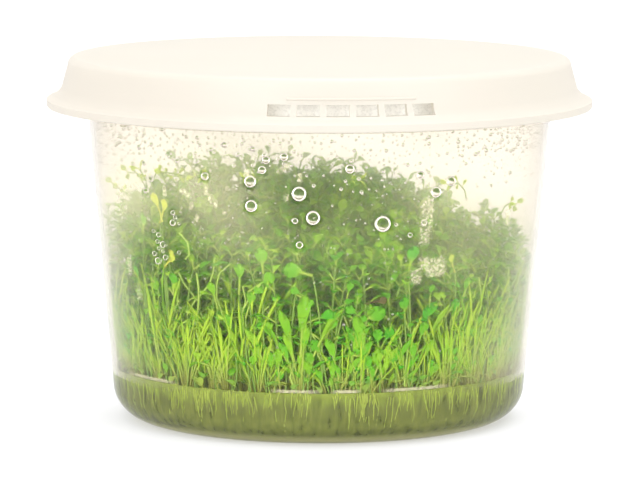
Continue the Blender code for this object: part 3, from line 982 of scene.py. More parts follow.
# %% The leafy stem tree
def leafy_stem_tree():
    """Tubes along chains of points, with leaves at the points."""
    tree, given, result = tree_with("leafy_stems", {
        "Leaf Forms": "Collection", "Size Spread": "Float", "Turn Spread": "Float", "Tilt Spread": "Float",
        "Sides": "Int", "Seed": "Int", "Wall Radius": "Float", "Wall Slope": "Float", "Drops": "Object",
        "Leaf Material": "Material", "Stem Material": "Material",
    })
    kinds = {**dict.fromkeys(CARRIED, "FLOAT"), "radius": "FLOAT", "grow": "FLOAT_VECTOR", "form": "INT"}
    carried = {}
    for name, kind in kinds.items():
        reader = add_node(tree, "GeometryNodeInputNamedAttribute", {"data_type": kind}, {"Name": name})
        carried[name] = reader.outputs["Attribute"]
    plant = add_node(tree, "GeometryNodeJoinGeometry")
    leaves = leaf_pairs(tree, given, carried)
    tree.links.new(stem_tubes(tree, given, carried), plant.inputs[0])
    tree.links.new(leaves, plant.inputs[0])
    inside = add_node(tree, "GeometryNodeSetPosition", None, {
        "Geometry": plant.outputs[0], "Position": inside_position(tree, given, carried)})
    tree.links.new(inside.outputs["Geometry"], result["Geometry"])
    return tree


leafy_stems = leafy_stem_tree()
print("leafy stem tree", len(leafy_stems.nodes), "nodes")

# %% [markdown]
# ## Stems as chains of points
#
# The chains come from a few rules. A chain starts at its foot in the gel, leans and bows a little, and ends at
# its tip, and its points are the knots that carry leaves. A small class collects the points and what each of
# them carries, and writes them out as one mesh that the tree can read.

# %% Chains of points
class Chains:
    """Points joined into chains, each with its leaf's size, turn, tilt, form and colour."""

    def __init__(self):
        self.places = []
        self.links = []
        self.grow = []
        self.form = []
        self.values = {name: [] for name in CARRIED}

    def add(self, places, knots):
        """One chain. knots holds a dict for each place, with what differs from a bare stem point."""
        start = len(self.places)
        for i, (place, knot) in enumerate(zip(places, knots)):
            ahead = places[min(i + 1, len(places) - 1)] - places[max(i - 1, 0)]
            self.places.append(place)
            self.grow.append(knot.get("grow", ahead.normalized()))
            self.form.append(knot.get("form", SPOON))
            for name in CARRIED:
                self.values[name].append(knot.get(name, 0.0))
            if i:
                self.links.append((start + i - 1, start + i))

    def mesh(self, name):
        """All the chains as one mesh of points and edges."""
        made = bpy.data.meshes.new(name)
        made.from_pydata(self.places, self.links, [])
        for key, values in self.values.items():
            made.attributes.new(key, "FLOAT", "POINT").data.foreach_set("value", values)
        made.attributes.new("form", "INT", "POINT").data.foreach_set("value", self.form)
        flat = [c for direction in self.grow for c in direction]
        made.attributes.new("grow", "FLOAT_VECTOR", "POINT").data.foreach_set("vector", flat)
        return made


def bowed(foot, tip, sideways, steps):
    """Points from foot to tip on a line that bows out by sideways in its middle."""
    points = []
    for i in range(steps + 1):
        share = i / steps
        points.append(foot.lerp(tip, share) + sideways * math.sin(math.pi * share))
    return points


def kept_inside(place, clearance=0.9):
    """Moves a point inwards until it is clear of the wall, by this many millimetres."""
    limit = (inner_radius(place.z / MM) - clearance) * MM
    reach = math.hypot(place.x, place.y)
    if reach > limit:
        return Vector((place.x * limit / reach, place.y * limit / reach, place.z))
    return place


def outward(turn):
    """The level direction at this angle from +X."""
    return Vector((math.cos(turn), math.sin(turn), 0))


def around(turn, reach, height):
    """The point at this angle from +X, at a reach and height in millimetres."""
    return Vector((math.cos(turn) * reach * MM, math.sin(turn) * reach * MM, height * MM))


print("20 mm up, a stem keeps", round(kept_inside(around(0, 80, 20)).x / MM, 1), "mm from the axis at most")

# %% [markdown]
# ## A stem
#
# Two habits of growth make the whole stand. The first is a stem: it has pairs of leaves above its bare part,
# each pair a quarter turn from the last, smaller and more upright towards the tip, and round rather than
# spoon-shaped near the top. Now and then a leaf is left on the bare part, and now and then one of a pair fell.

# %% A leafy stem
KNOT_SPACING = 3.7
LEAF_LENGTHS = {SPOON: 7.8, ROUND: 5.0}
STEM_CLEARANCE = 0.9
LEFTOVER_LEAF = 0.3  # chance of a leaf on the bare part
ROUND_ABOVE = 0.6  # share of the stem above which every leaf is round
ROUND_BELOW = 0.3  # chance of a round leaf under that
TIP_ABOVE = 0.85
TIP_SIZE = 0.78
WHOLE_PAIR = 0.85


def leafy_stem(chains, chance, foot, tip, tint, bare=0.35, thick=0.30):
    """A stem with leaf pairs above its bare part, smaller and more upright towards the tip."""
    length = (tip - foot).length
    steps = max(3, round(length / (KNOT_SPACING * MM)))
    side = Matrix.Rotation(chance.uniform(0, math.tau), 3, "Z") @ Vector((chance.uniform(0.5, 3.0) * MM, 0, 0))
    places = [kept_inside(p, STEM_CLEARANCE) for p in bowed(foot, tip, side, steps)]
    turn = chance.uniform(0, math.tau)
    knots = []
    for i in range(len(places)):
        share = i / steps
        leafy = share >= bare or chance.random() < LEFTOVER_LEAF
        form = ROUND if share > ROUND_ABOVE or chance.random() < ROUND_BELOW else SPOON
        size = LEAF_LENGTHS[form] * chance.uniform(0.7, 1.15) * (TIP_SIZE if share > TIP_ABOVE else 1.0)
        knots.append({
            "size": size * MM if leafy and i else 0.0,
            "turn": turn + i * math.pi / 2,
            "tilt": math.radians(80 - 42 * share),
            "form": form,
            "tint": tint + 0.34 * share ** 2,
            "paired": 1.0 if chance.random() < WHOLE_PAIR else 0.0,
            "thick": thick * MM * (1 - 0.4 * share),
            "loose": 1.0,
        })
    chains.add(places, knots)


print("a stem of 50 mm has", round(50 / KNOT_SPACING) + 1, "knots")

# %% [markdown]
# ## A tuft
#
# The second habit is a tuft, a crown at the foot from which leaves rise together and lean out like a fan, set
# by the golden angle so that none covers another. Strap leaves grow thick at the sides of the tub, paddles and
# a few straps near the middle of the front, and shorter straps in a second row.

# %% A tuft
TUFT_CLEARANCE = 1.2
CROWN_RADIUS = 0.5
TUFT_LOOSENESS = 0.42
GOLDEN_TURN = math.radians(137.5)
# leaf form, leaves, shortest and longest in mm, lean of the outermost in degrees, tint
SIDE_STRAPS = (STRAP, 50, 15, 28, 17, 0.82)
FRONT_STRAPS = (STRAP, 28, 14, 22, 18, 0.78)
FRONT_PADDLES = (PADDLE, 17, 15, 26, 25, 0.40)
BACK_STRAPS = (STRAP, 30, 13, 24, 17, 0.66)


def tuft(chains, chance, foot, kind):
    """Leaves that rise together from one crown."""
    form, count, shortest, longest, spread, tint = kind
    size = chance.uniform(shortest, longest)
    for i in range(count):
        turn = i * GOLDEN_TURN + chance.uniform(-0.4, 0.4)
        lean = math.radians(spread) * math.sqrt((i + 0.5) / count)
        start = foot + outward(turn) * CROWN_RADIUS * MM
        knot = {
            "grow": Vector((0, 0, 1)), "size": size * chance.uniform(0.5, 1.12) * MM, "turn": turn,
            "tilt": lean, "form": form, "tint": tint + chance.uniform(-0.25, 0.15), "loose": TUFT_LOOSENESS,
        }
        chains.add([kept_inside(start, TUFT_CLEARANCE)], [knot])


print("leaves in a tuft", [kind[1] for kind in (SIDE_STRAPS, FRONT_STRAPS, FRONT_PADDLES, BACK_STRAPS)])

# %% [markdown]
# ## The stand of plants
#
# The tub holds 37 clumps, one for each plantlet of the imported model, and a clump is a dozen stems. Seen from
# the side the stand has layers. Above is a closed roof of small round leaves, and tall stems hold it up, bare
# below it in the inner clumps, because no light gets there. Behind the wall, where light comes in from the
# side, leaves grow all the way down.

# %% Stems and shoots of a clump
LEAF_ROOM = 5.5  # a leaf reaches this far above the last knot, so the stem stops short
CLUMP_RADIUS = 7.6
OUTER_CLUMP = 34  # a clump whose middle is farther out than this stands behind the wall
STEM_FOOT_DEPTH = 1.0  # a stem starts this far down in the gel
FOOT_CLEARANCE = 1.8
TIP_CLEARANCE = 2.5
WALL_TIP_CLEARANCE = 1.2
STEMS_PER_CLUMP = 14
INNER_STEMS = 11
ROOF_SHOOTS = 9
WALL_STEMS = 5
# where the crest shades the middle of the front, the wall stems get a lower tint: a darker green as painted
# shade
PAINTED_SHADE_MIDDLE = 82  # degrees to the left of +X, the middle of the front that the crest shades
PAINTED_SHADE_HALF = 26


def upright_stems(chains, chance, middle, top, outer):
    """The stems that hold the roof up, dealt evenly over the clump."""
    stems = STEMS_PER_CLUMP if outer else INNER_STEMS
    for i in range(stems):
        reach = CLUMP_RADIUS * math.sqrt((i + 0.5) / stems)
        turn = i * GOLDEN_TURN + chance.uniform(-0.3, 0.3)
        spot = middle + outward(turn) * reach * MM
        if outer:
            spot = spot * 1.02
        foot = kept_inside(Vector((spot.x, spot.y, (GEL_LEVEL - STEM_FOOT_DEPTH) * MM)), FOOT_CLEARANCE)
        height = top - LEAF_ROOM * chance.uniform(0.75, 1.2) - chance.uniform(0, 7) * (i > 0)
        tip = foot + Vector((chance.uniform(-3, 3) * MM, chance.uniform(-3, 3) * MM, 0))
        tip.z = height * MM
        young = chance.uniform(0.0, 0.3)
        leafy_stem(chains, chance, foot, kept_inside(tip, TIP_CLEARANCE), young, 0.4 if outer else 0.72)


def roof_shoots(chains, chance, middle, top):
    """Short thin shoots that close the roof of round leaves."""
    for _ in range(ROOF_SHOOTS):
        turn = chance.uniform(0, math.tau)
        reach = CLUMP_RADIUS * math.sqrt(chance.random())
        spot = middle + outward(turn) * reach * MM
        foot = kept_inside(Vector((spot.x, spot.y, (top - chance.uniform(13, 18)) * MM)), TIP_CLEARANCE)
        tip = foot + Vector((chance.uniform(-4, 4) * MM, chance.uniform(-4, 4) * MM, 0))
        tip.z = (top - LEAF_ROOM * chance.uniform(0.7, 1.6)) * MM
        young = chance.uniform(0.0, 0.45)
        leafy_stem(chains, chance, foot, kept_inside(tip, TIP_CLEARANCE), young, 0.1, 0.22)


def wall_stems(chains, chance, middle, top):
    """Stems along the wall that are leafy nearly from the foot."""
    for _ in range(WALL_STEMS):
        turn = math.atan2(middle.y, middle.x) + chance.uniform(-0.18, 0.18)
        reach = inner_radius(GEL_LEVEL + 1) - chance.uniform(1.0, 4.0)
        foot = around(turn, reach, GEL_LEVEL - STEM_FOOT_DEPTH)
        tip = foot * 1.06
        tip.z = (GEL_LEVEL + (top - LEAF_ROOM - GEL_LEVEL) * chance.uniform(0.45, 1.0)) * MM
        # painted shade: in the middle of the front, under the crest, the tint is drawn lower for a darker green
        shaded = abs(math.degrees(turn) + PAINTED_SHADE_MIDDLE) < PAINTED_SHADE_HALF
        young = chance.uniform(-0.2, 0.2) if shaded else chance.uniform(0.1, 0.5)
        leafy_stem(chains, chance, foot, kept_inside(tip, WALL_TIP_CLEARANCE), young, 0.12)


print("stems of an outer clump", STEMS_PER_CLUMP + ROOF_SHOOTS + WALL_STEMS, "and of an inner one",
      INNER_STEMS + ROOF_SHOOTS)

# %% [markdown]
# ## Tufts at the foot, and the clump as a whole
#
# Along the foot, behind the wall, stand the tufts, like grass, with a second row behind them. Only the clumps
# behind the wall have any, because the inner ones are hidden.

# %% Tufts and the whole clump
TUFTS = 6
BACK_TUFTS = 4
TUFT_ARC = 0.35  # radians of the wall that the tufts of a clump share
PADDLES_FROM = -14  # degrees to the right of the front
PADDLES_TO = 36


def foot_tufts(chains, chance, middle):
    """Tufts between the wall and the stems, and a second row behind them."""
    towards = math.atan2(middle.y, middle.x)
    for i in range(TUFTS):
        turn = towards + TUFT_ARC * ((i + chance.random()) / TUFTS - 0.5)
        level = GEL_LEVEL - chance.uniform(0.5, 4.5)
        reach = inner_radius(level) - chance.uniform(0.5, 5.0)
        foot = outward(turn) * reach * MM
        foot.z = level * MM
        to_right = math.degrees(turn) + 90
        if to_right < PADDLES_FROM or to_right > PADDLES_TO:
            tuft(chains, chance, foot, SIDE_STRAPS)
        else:
            tuft(chains, chance, foot, FRONT_PADDLES if i % 4 else FRONT_STRAPS)
    for i in range(BACK_TUFTS):
        turn = towards + TUFT_ARC * ((i + chance.random()) / BACK_TUFTS - 0.5)
        reach = inner_radius(GEL_LEVEL) - chance.uniform(5.0, 10.0)
        tuft(chains, chance, around(turn, reach, GEL_LEVEL - 0.5), BACK_STRAPS)


def grow_clump(name, chance):
    """All the stems and tufts that stand for one plantlet."""
    low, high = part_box(name)
    middle = Vector(((low[0] + high[0]) / 2, (low[1] + high[1]) / 2, 0))
    top = high[2] / MM
    outer = middle.length > OUTER_CLUMP * MM
    chains = Chains()
    upright_stems(chains, chance, middle, top, outer)
    roof_shoots(chains, chance, middle, top)
    if outer:
        wall_stems(chains, chance, middle, top)
        foot_tufts(chains, chance, middle)
    return chains


print("tufts of an outer clump", TUFTS + BACK_TUFTS)

# %% [markdown]
# ## Growing all of it
#
# Every plantlet gets its chains from one seeded draw and its own seed for the tree. The finished mesh takes the
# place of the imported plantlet.

# %% Growing the stand
PLANT_SEED = 7
LEAF_CLEARANCE = 0.35
CONE_FOOT = inner_radius(CORNER) - CORNER * WALL_SLOPE  # the wall's inside, carried on down to the table
FIRST_CLUMP_SEED = 100

chance = random.Random(PLANT_SEED)
stand_faces = 0
for number, name in enumerate(PLANTLETS):
    mesh = grown(name + "_clump", grow_clump(name, chance).mesh(name + "_chains"), leafy_stems, {
        "Leaf Forms": leaf_shelf, "Size Spread": 0.14, "Turn Spread": 0.6, "Tilt Spread": 0.42, "Sides": 4,
        "Seed": FIRST_CLUMP_SEED + number, "Wall Radius": (CONE_FOOT - LEAF_CLEARANCE) * MM,
        "Wall Slope": WALL_SLOPE, "Drops": drop_spots, "Leaf Material": leaf_material,
        "Stem Material": stem_material})
    clump = into_scene(name + "_clump", mesh)
    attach(clump, "root")
    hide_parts(name)
    stand_faces += sum(len(p.vertices) - 2 for p in mesh.polygons)
print("stand of plants", stand_faces, "triangles")

# %% [markdown]
# ## Damp on the wall
#
# The inside of the wall is misted. Mist is water in drops too small to see one by one, so it is a film with a
# share of white, and how much differs from place to place: thick at the sides and on the upper left and right,
# thin in the middle. It is listed as soft round patches. A second list has the small patches of beads, where
# the mist has grown to drops that touch each other, and small bright patches that are painted highlights, and
# a third the bright stretches of the line at the gel, a painted highlight along the gel's edge.

# %% Where the damp lies
MIST_BASE = 0.006
UPPER_MIST = 0.014  # added above the height that the drops run down to
MIST_PATCHES = (
    # column and row of the middle, half width and half height in pixels, strength
    (113, 230, 14, 60, 0.20), (136, 200, 26, 30, 0.30), (190, 190, 20, 18, 0.12), (222, 205, 42, 38, 0.21),
    (250, 250, 40, 26, 0.05), (342, 232, 60, 40, 0.05), (470, 235, 50, 52, 0.14), (540, 290, 14, 120, 0.30),
    (520, 260, 14, 60, 0.14), (440, 190, 40, 24, 0.14), (300, 150, 190, 12, 0.07), (190, 165, 60, 22, 0.12),
    (140, 345, 30, 34, 0.02), (500, 350, 30, 40, 0.12),
)
BEAD_AND_HIGHLIGHT_PATCHES = (
    # the same, for patches of small drops that touch each other, and for bright specks that are painted
    # highlights
    (427, 212, 6, 13, 0.5), (425, 232, 5, 11, 0.4), (435, 267, 10, 8, 0.55), (424, 262, 5, 5, 0.5),
    (416, 276, 5, 7, 0.5), (506, 216, 2, 9, 0.6), (131, 265, 2, 9, 0.5), (165, 190, 1.6, 6, 0.8),
    (184, 192, 3, 1.8, 0.85), (189, 195, 3, 1.8, 0.85), (206.5, 191, 1.8, 4, 0.8), (211, 198, 1.8, 4, 0.8),
    (215.5, 204, 1.4, 3, 0.75), (192, 205, 1.8, 2.4, 0.7), (197.5, 219, 2.2, 2.6, 0.8),
    (248.5, 173, 3.4, 4, 0.8), (281, 170, 2.6, 2, 0.75), (286, 167, 2.6, 2, 0.75), (300, 179, 1.8, 4.5, 0.9),
    (286, 197, 1.8, 2.4, 0.8), (227.5, 189, 1.6, 1.8, 0.7), (225, 212, 1.6, 1.8, 0.6), (201, 231, 1.2, 3, 0.6),
    (140, 292, 2, 8, 0.4),
)
# the line at the gel is a painted highlight: white added to the film along the gel's edge
GEL_HIGHLIGHT_LINE = ((296, 398, 26), (346, 394, 16), (415, 394, 36), (152, 379, 26))  # column, row, half width
FAR_PATCHES = 9


def patch_strengths(patches):
    """The patches with their middles as azimuth and height, and half sizes as angle and millimetres."""
    found = []
    for column, row, wide, high, strength in patches:
        middle = wall_point(column, row)
        edge = wall_point(column + (wide if column < AXIS_COLUMN else -wide), row)
        spread = abs(azimuth(middle) - azimuth(edge))
        found.append((azimuth(middle), middle.z / MM, spread, high * PIXEL / MM, strength))
    return found


chance = random.Random(DAMP_SEED)
mist_patches = patch_strengths(MIST_PATCHES)
for _ in range(FAR_PATCHES):  # the far side, which the picture doesn't show
    mist_patches.append((math.radians(chance.uniform(110, 250)), chance.uniform(30, 68), math.radians(14),
                         chance.uniform(6, 12), chance.uniform(0.08, 0.24)))
bead_and_highlight_places = patch_strengths(BEAD_AND_HIGHLIGHT_PATCHES)
print("patches of mist", len(mist_patches), "and of beads", len(bead_and_highlight_places))

# %% [markdown]
# ## Mist as a material
#
# Mist is water, and what the eye sees of it is scattered light, so the film is a matt white with an alpha. Two
# attributes drive the alpha: how thick the mist is, broken up by a fine noise, and how thickly the beads lie,
# drawn as the cells of a Voronoi pattern with a bead of about half a millimetre in each. Some of the patches
# are
# painted highlights: their white specks stand for glints.

# %% Mist material
def mist_material(name, colour):
    """Matt water mist, as opaque as its mist attribute and its attribute for beads and painted highlights say.
    """
    material, tree, output = new_material(name)
    place = add_node(tree, "ShaderNodeTexCoord")
    thickness = add_node(tree, "ShaderNodeAttribute", {"attribute_name": "mist"})
    grain = add_node(tree, "ShaderNodeTexNoise", None, {
        "Vector": place.outputs["Object"],
        "Scale": 1 / (0.7 * MM),  # real mist has drops of a few hundredths, too fine to show
        "Detail": 3.0,
        "Roughness": 0.7,
    })
    uneven = add_node(tree, "ShaderNodeMapRange", None, {
        "Value": grain.outputs["Fac"], "From Min": 0.3, "From Max": 0.7, "To Min": 0.82, "To Max": 1.18})
    even = add_node(tree, "ShaderNodeMath", {"operation": "MULTIPLY"}, {
        0: thickness.outputs["Fac"], 1: uneven.outputs["Result"]})
    # the speck pattern draws beads of damp, and in some patches painted highlights
    speck = add_node(tree, "ShaderNodeTexVoronoi", None, {
        "Vector": place.outputs["Object"], "Scale": 1 / (0.62 * MM), "Randomness": 1.0})
    bead = add_node(tree, "ShaderNodeMapRange", {"interpolation_type": "SMOOTHSTEP"}, {
        "Value": speck.outputs["Distance"], "From Min": 0.62, "From Max": 0.2, "To Min": 0.2, "To Max": 0.9})
    beads_and_highlights_share = add_node(tree, "ShaderNodeAttribute", {"attribute_name": "beads"})
    share = add_node(tree, "ShaderNodeMath", {"operation": "MULTIPLY_ADD", "use_clamp": True}, {
        0: beads_and_highlights_share.outputs["Fac"], 1: bead.outputs["Result"], 2: even.outputs[0]})
    surface = add_node(tree, "ShaderNodeBsdfPrincipled", None, {
        "Base Color": srgb(colour), "Roughness": 0.9, "IOR": 1.33, "Alpha": share.outputs[0]})
    tree.links.new(surface.outputs["BSDF"], output.inputs["Surface"])
    return material


# the wall mist's faint yellow green is painted light, for the green that the leaves behind send through the
# mist
wall_mist_material = mist_material("condensed_water_mist", "#f3f3d6")
fog_material = mist_material("condensed_water_fog", "#fbfaf4")
print("mist materials", wall_mist_material.name, fog_material.name)

# %% [markdown]
# ## How thick the damp is at a point
#
# Two functions turn the lists into numbers for any azimuth and height. Mist fades out softly from the middle
# of each patch, and patches add up. A patch of beads and painted highlights has a short edge, and where two
# meet the stronger counts.

# %% Thickness of mist and beads
def mist_at(turn, height):
    """Share of white on the wall, built up from soft round patches."""
    total = MIST_BASE + UPPER_MIST * min(1.0, max(0.0, (height - 26) / 14))
    for middle, level, wide, high, strength in mist_patches:
        apart = (turn - middle + math.pi) % math.tau - math.pi
        total += strength * math.exp(-((apart / wide) ** 2 + ((height - level) / high) ** 2) * 0.9)
    return total


def beads_and_highlights_at(turn, height):
    """How thickly the beads and painted highlights lie: a patch's strength inside it, and 0 outside its short
    edge.
    """
    best = 0.0
    for middle, level, wide, high, strength in bead_and_highlight_places:
        apart = (((turn - middle) / wide) ** 4 + ((height - level) / high) ** 4) ** 0.25
        best = max(best, strength * min(1.0, max(0.0, (1.15 - apart) * 5)))
    return best


print("mist at the front, 45 mm up", round(mist_at(0.0, 45.0), 3))

# %% [markdown]
# ## The film on the wall
#
# The film is turned like the tub, with finer steps at the front, where small patches show. It is closed, and
# only its outer face carries the damp, so that looking through both faces counts it once. Around a large drop
# the wall is clear, because the drop has taken up the mist. On the neck the film is nearly opaque, and along
# the gel it brightens into a fine line, a painted highlight.

# %% The mist on the wall
FRONT_ANGLES = [math.radians(-160 + 0.5 * i) for i in range(280)]
OTHER_ANGLES = [math.radians(-20 + 2.2 * i) for i in range(100)]
MIST_LEVELS = [12.75, 13.0, 13.3, 13.6, 14.0] + [14.8 + 0.7 * i for i in range(82)] + [72.7, 76.0, 83.0]
FILM_OUTSIDE = 0.03  # millimetres from the wall to the film's outer face
FILM_INSIDE = 0.08
FILM_MIDDLE = 0.05
NECK_MIST = 0.95
THICKEST_MIST = 0.9
HIGHLIGHT_LINE_TOP = 13.5
PAINTED_LINE_HIGHLIGHT = 0.40
CLEAR_RING = 0.5  # millimetres of clear wall around a large drop
RING_SHARE = 0.15  # of the mist is left there

mist_profile = [(inner_radius(z) - FILM_OUTSIDE, z) for z in MIST_LEVELS]
mist_profile += [(inner_radius(z) - FILM_INSIDE, z) for z in reversed(MIST_LEVELS)]
mist_mesh = turned("wall_mist", mist_profile, FRONT_ANGLES + OTHER_ANGLES)
gel_highlight_line = [(wall_point(column, row), wide * PIXEL) for column, row, wide in GEL_HIGHLIGHT_LINE]
amounts = []
beads = []
for vert in mist_mesh.vertices:
    place = vert.co
    height = place.z / MM
    if math.hypot(place.x, place.y) / MM <= inner_radius(height) - FILM_MIDDLE:
        amounts.append(0.0)
        beads.append(0.0)
        continue
    amount = NECK_MIST if height > COLLAR_LEVEL else mist_at(azimuth(place), height)
    # painted highlight: the film is made whiter in a fine line along the gel's edge
    if height < HIGHLIGHT_LINE_TOP:
        near = max(1 - abs(place.x - spot.x) / wide for spot, wide in gel_highlight_line) if place.y < 0 else 0.3
        amount += PAINTED_LINE_HIGHLIGHT * max(0.0, min(1.0, near * 2)) * chance.uniform(0.6, 1.2)
    amounts.append(min(THICKEST_MIST, amount))
    beads.append(beads_and_highlights_at(azimuth(place), height))
finder = KDTree(len(mist_mesh.vertices))
for vert in mist_mesh.vertices:
    finder.insert(vert.co, vert.index)
finder.balance()
for place, radius in drops:
    for _, index, _ in finder.find_range(place, radius + CLEAR_RING * MM):
        amounts[index] *= RING_SHARE
for name, values in (("mist", amounts), ("beads", beads)):
    mist_mesh.attributes.new(name, "FLOAT", "POINT").data.foreach_set("value", values)
new_piece("wall_mist", mist_mesh, wall_mist_material)

# %% [markdown]
# ## Fog on the neck
#
# Behind the tamper slots the neck shows nearly white. Light that passes both walls of the neck and the plants
# would be green, so a thin film of fog on the outside of the neck, under the lid, sends it back.

# %% The fog on the neck
NECK_FOOT = 73.8
NECK_FOOT_RADIUS = 55.3
NECK_SLOPE = 0.5 / 8.6
NECK_LEVELS = (74.4, 77.0, 79.6, 82.2)
FOG_OUTSIDE = 0.1
FOG_INSIDE = 0.04


def neck_outside(height):
    """Outside radius of the neck under the lid, in millimetres."""
    return NECK_FOOT_RADIUS + (height - NECK_FOOT) * NECK_SLOPE


neck_profile = [(neck_outside(z) + FOG_OUTSIDE, z) for z in NECK_LEVELS]
neck_profile += [(neck_outside(z) + FOG_INSIDE, z) for z in reversed(NECK_LEVELS)]
neck_mesh = turned("neck_mist", neck_profile)
neck_values = [NECK_MIST] * len(neck_mesh.vertices)
neck_mesh.attributes.new("mist", "FLOAT", "POINT").data.foreach_set("value", neck_values)
new_piece("neck_mist", neck_mesh, fog_material)

# %% [markdown]
# ## One drop
#
# Where the mist has run together it hangs in clear drops. A drop on plastic is a piece of a ball that meets the
# wall at about a hundred degrees, a little more for a small one than for a large one, which its weight pulls
# flat. Its steep rim throws the light back, so against the leaves it is a bright ring, and its middle turns the
# view upside down. One function makes the cap, with a few dozen faces for the small ones and more for the rest.

# %% A drop of water
SMALL_CONTACT = math.radians(108)
LARGE_CONTACT = math.radians(98)
DROP_CREASE = math.radians(50)


def water():
    """Clear water."""
    material, tree, output = new_material("condensed_water")
    surface = add_node(tree, "ShaderNodeBsdfPrincipled", None, {
        "Base Color": srgb("#ffffff"), "Roughness": 0.0, "IOR": 1.333, "Transmission Weight": 1.0})
    tree.links.new(surface.outputs["BSDF"], output.inputs["Surface"])
    return material


def drop_cap(name, sides, rings, contact):
    """A drop one unit in radius that sits on Z = 0 and bulges up Z."""
    shape = bmesh.new()
    layers = []
    for i in range(rings):
        turn = contact * (1 - i / rings)
        layers.append([shape.verts.new((math.sin(turn) * math.cos(a), math.sin(turn) * math.sin(a),
                                        math.cos(turn) - math.cos(contact)))
                       for a in [math.tau * j / sides for j in range(sides)]])
    peak = shape.verts.new((0, 0, 1 - math.cos(contact)))
    for lower, upper in zip(layers, layers[1:]):
        for j in range(sides):
            shape.faces.new((lower[j], lower[(j + 1) % sides], upper[(j + 1) % sides], upper[j]))
    for j in range(sides):
        shape.faces.new((layers[-1][j], layers[-1][(j + 1) % sides], peak))
    shape.faces.new(layers[0][::-1])
    mesh = bpy.data.meshes.new(name)
    shape.to_mesh(mesh)
    shape.free()
    mesh.shade_smooth()
    mesh.set_sharp_from_angle(angle=DROP_CREASE)
    return mesh


water_material = water()
small_drop = bpy.data.objects.new("small_drop", drop_cap("small_drop", 8, 3, SMALL_CONTACT))
large_drop = drop_cap("large_drop", 28, 9, LARGE_CONTACT)
print("a small drop has", len(small_drop.data.polygons), "faces, a large one", len(large_drop.polygons))

# %% [markdown]
# ## Dealing drops over the wall
#
# The scattered drops come from Geometry Nodes. Points are dealt over a strip of the wall, the denser the wetter
# it is and never closer than a given distance, and each gets a cap that faces inwards. Raising a random number
# to a power makes most of them small, as on a real wall.

# %% The tree that deals drops
def drops_tree():
    """Drops scattered over a strip by its attribute wet."""
    tree, given, result = tree_with("wall_drops", {
        "Drop": "Object", "Density": "Float", "Apart": "Float", "Smallest": "Float", "Largest": "Float",
        "Seed": "Int", "Material": "Material",
    })
    wet = add_node(tree, "GeometryNodeInputNamedAttribute", {"data_type": "FLOAT"}, {"Name": "wet"})
    dealt = add_node(tree, "GeometryNodeDistributePointsOnFaces", {"distribute_method": "POISSON"}, {
        "Mesh": given["Geometry"], "Distance Min": given["Apart"], "Density Max": given["Density"],
        "Density Factor": wet.outputs["Attribute"], "Seed": given["Seed"]})
    chance = add_node(tree, "FunctionNodeRandomValue", {"data_type": "FLOAT"}, {
        2: 0.0, 3: 1.0, "Seed": given["Seed"]})
    mostly_small = add_node(tree, "ShaderNodeMath", {"operation": "POWER"}, {0: chance.outputs[1], 1: 2.5})
    radius = add_node(tree, "ShaderNodeMapRange", None, {
        "Value": mostly_small.outputs[0], "To Min": given["Smallest"], "To Max": given["Largest"]})
    facing = add_node(tree, "FunctionNodeAlignRotationToVector", {"axis": "Z"}, {
        "Vector": dealt.outputs["Normal"]})
    size = add_node(tree, "ShaderNodeCombineXYZ", None, {
        "X": radius.outputs["Result"], "Y": radius.outputs["Result"], "Z": radius.outputs["Result"]})
    cap = add_node(tree, "GeometryNodeObjectInfo", None, {"Object": given["Drop"]})
    spread = add_node(tree, "GeometryNodeInstanceOnPoints", None, {
        "Points": dealt.outputs["Points"], "Instance": cap.outputs["Geometry"],
        "Rotation": facing.outputs["Rotation"], "Scale": size.outputs[0]})
    real = add_node(tree, "GeometryNodeRealizeInstances", None, {0: spread.outputs["Instances"]})
    dressed = add_node(tree, "GeometryNodeSetMaterial", None, {
        0: real.outputs["Geometry"], "Material": given["Material"]})
    tree.links.new(dressed.outputs["Geometry"], result["Geometry"])
    return tree


dealer = drops_tree()
print("drops tree", len(dealer.nodes), "nodes")

# %% [markdown]
# ## Small drops
#
# Two strips are dealt over. The upper one runs up to the collar, where warm damp meets cool plastic, and gets
# the larger drops. The lower one is nearly dry but for the patches of beads, where small drops lie close.

# %% Small drops
UPPER_LEVELS = (50, 58, 62, 64, 66, 68, 70, 71, 72.3)
LOWER_LEVELS = tuple(20 + 1.0 * i for i in range(45))


def upper_wetness(turn, height):
    """Hardly wet below, and fully wet near the collar."""
    return 0.04 if height < 62 else 0.3 if height < 66 else 1.0


def lower_wetness(turn, height):
    """Fully wet inside a patch of beads and painted highlights, and nearly dry elsewhere."""
    for middle, level, wide, high, _ in bead_and_highlight_places:
        if abs((turn - middle + math.pi) % math.tau - math.pi) < wide and abs(height - level) < high:
            return 1.0
    return 0.01 if height < 38 else 0.05


def wet_strip(name, levels, wetness, turns):
    """An open strip of the wall that faces inwards, with how wet it is at every point."""
    corners, faces = [], []
    for level in levels:
        radius = (inner_radius(level) - DROP_INSET) * MM
        angles = [math.tau * i / turns for i in range(turns)]
        corners += [(radius * math.sin(a), -radius * math.cos(a), level * MM) for a in angles]
    for row in range(len(levels) - 1):
        for i in range(turns):
            j = (i + 1) % turns
            faces.append((row * turns + i, (row + 1) * turns + i, (row + 1) * turns + j, row * turns + j))
    mesh = bpy.data.meshes.new(name)
    mesh.from_pydata(corners, [], faces)
    mesh.attributes.new("wet", "FLOAT", "POINT").data.foreach_set(
        "value", [wetness(math.atan2(x, -y), z / MM) for x, y, z in corners])
    return mesh


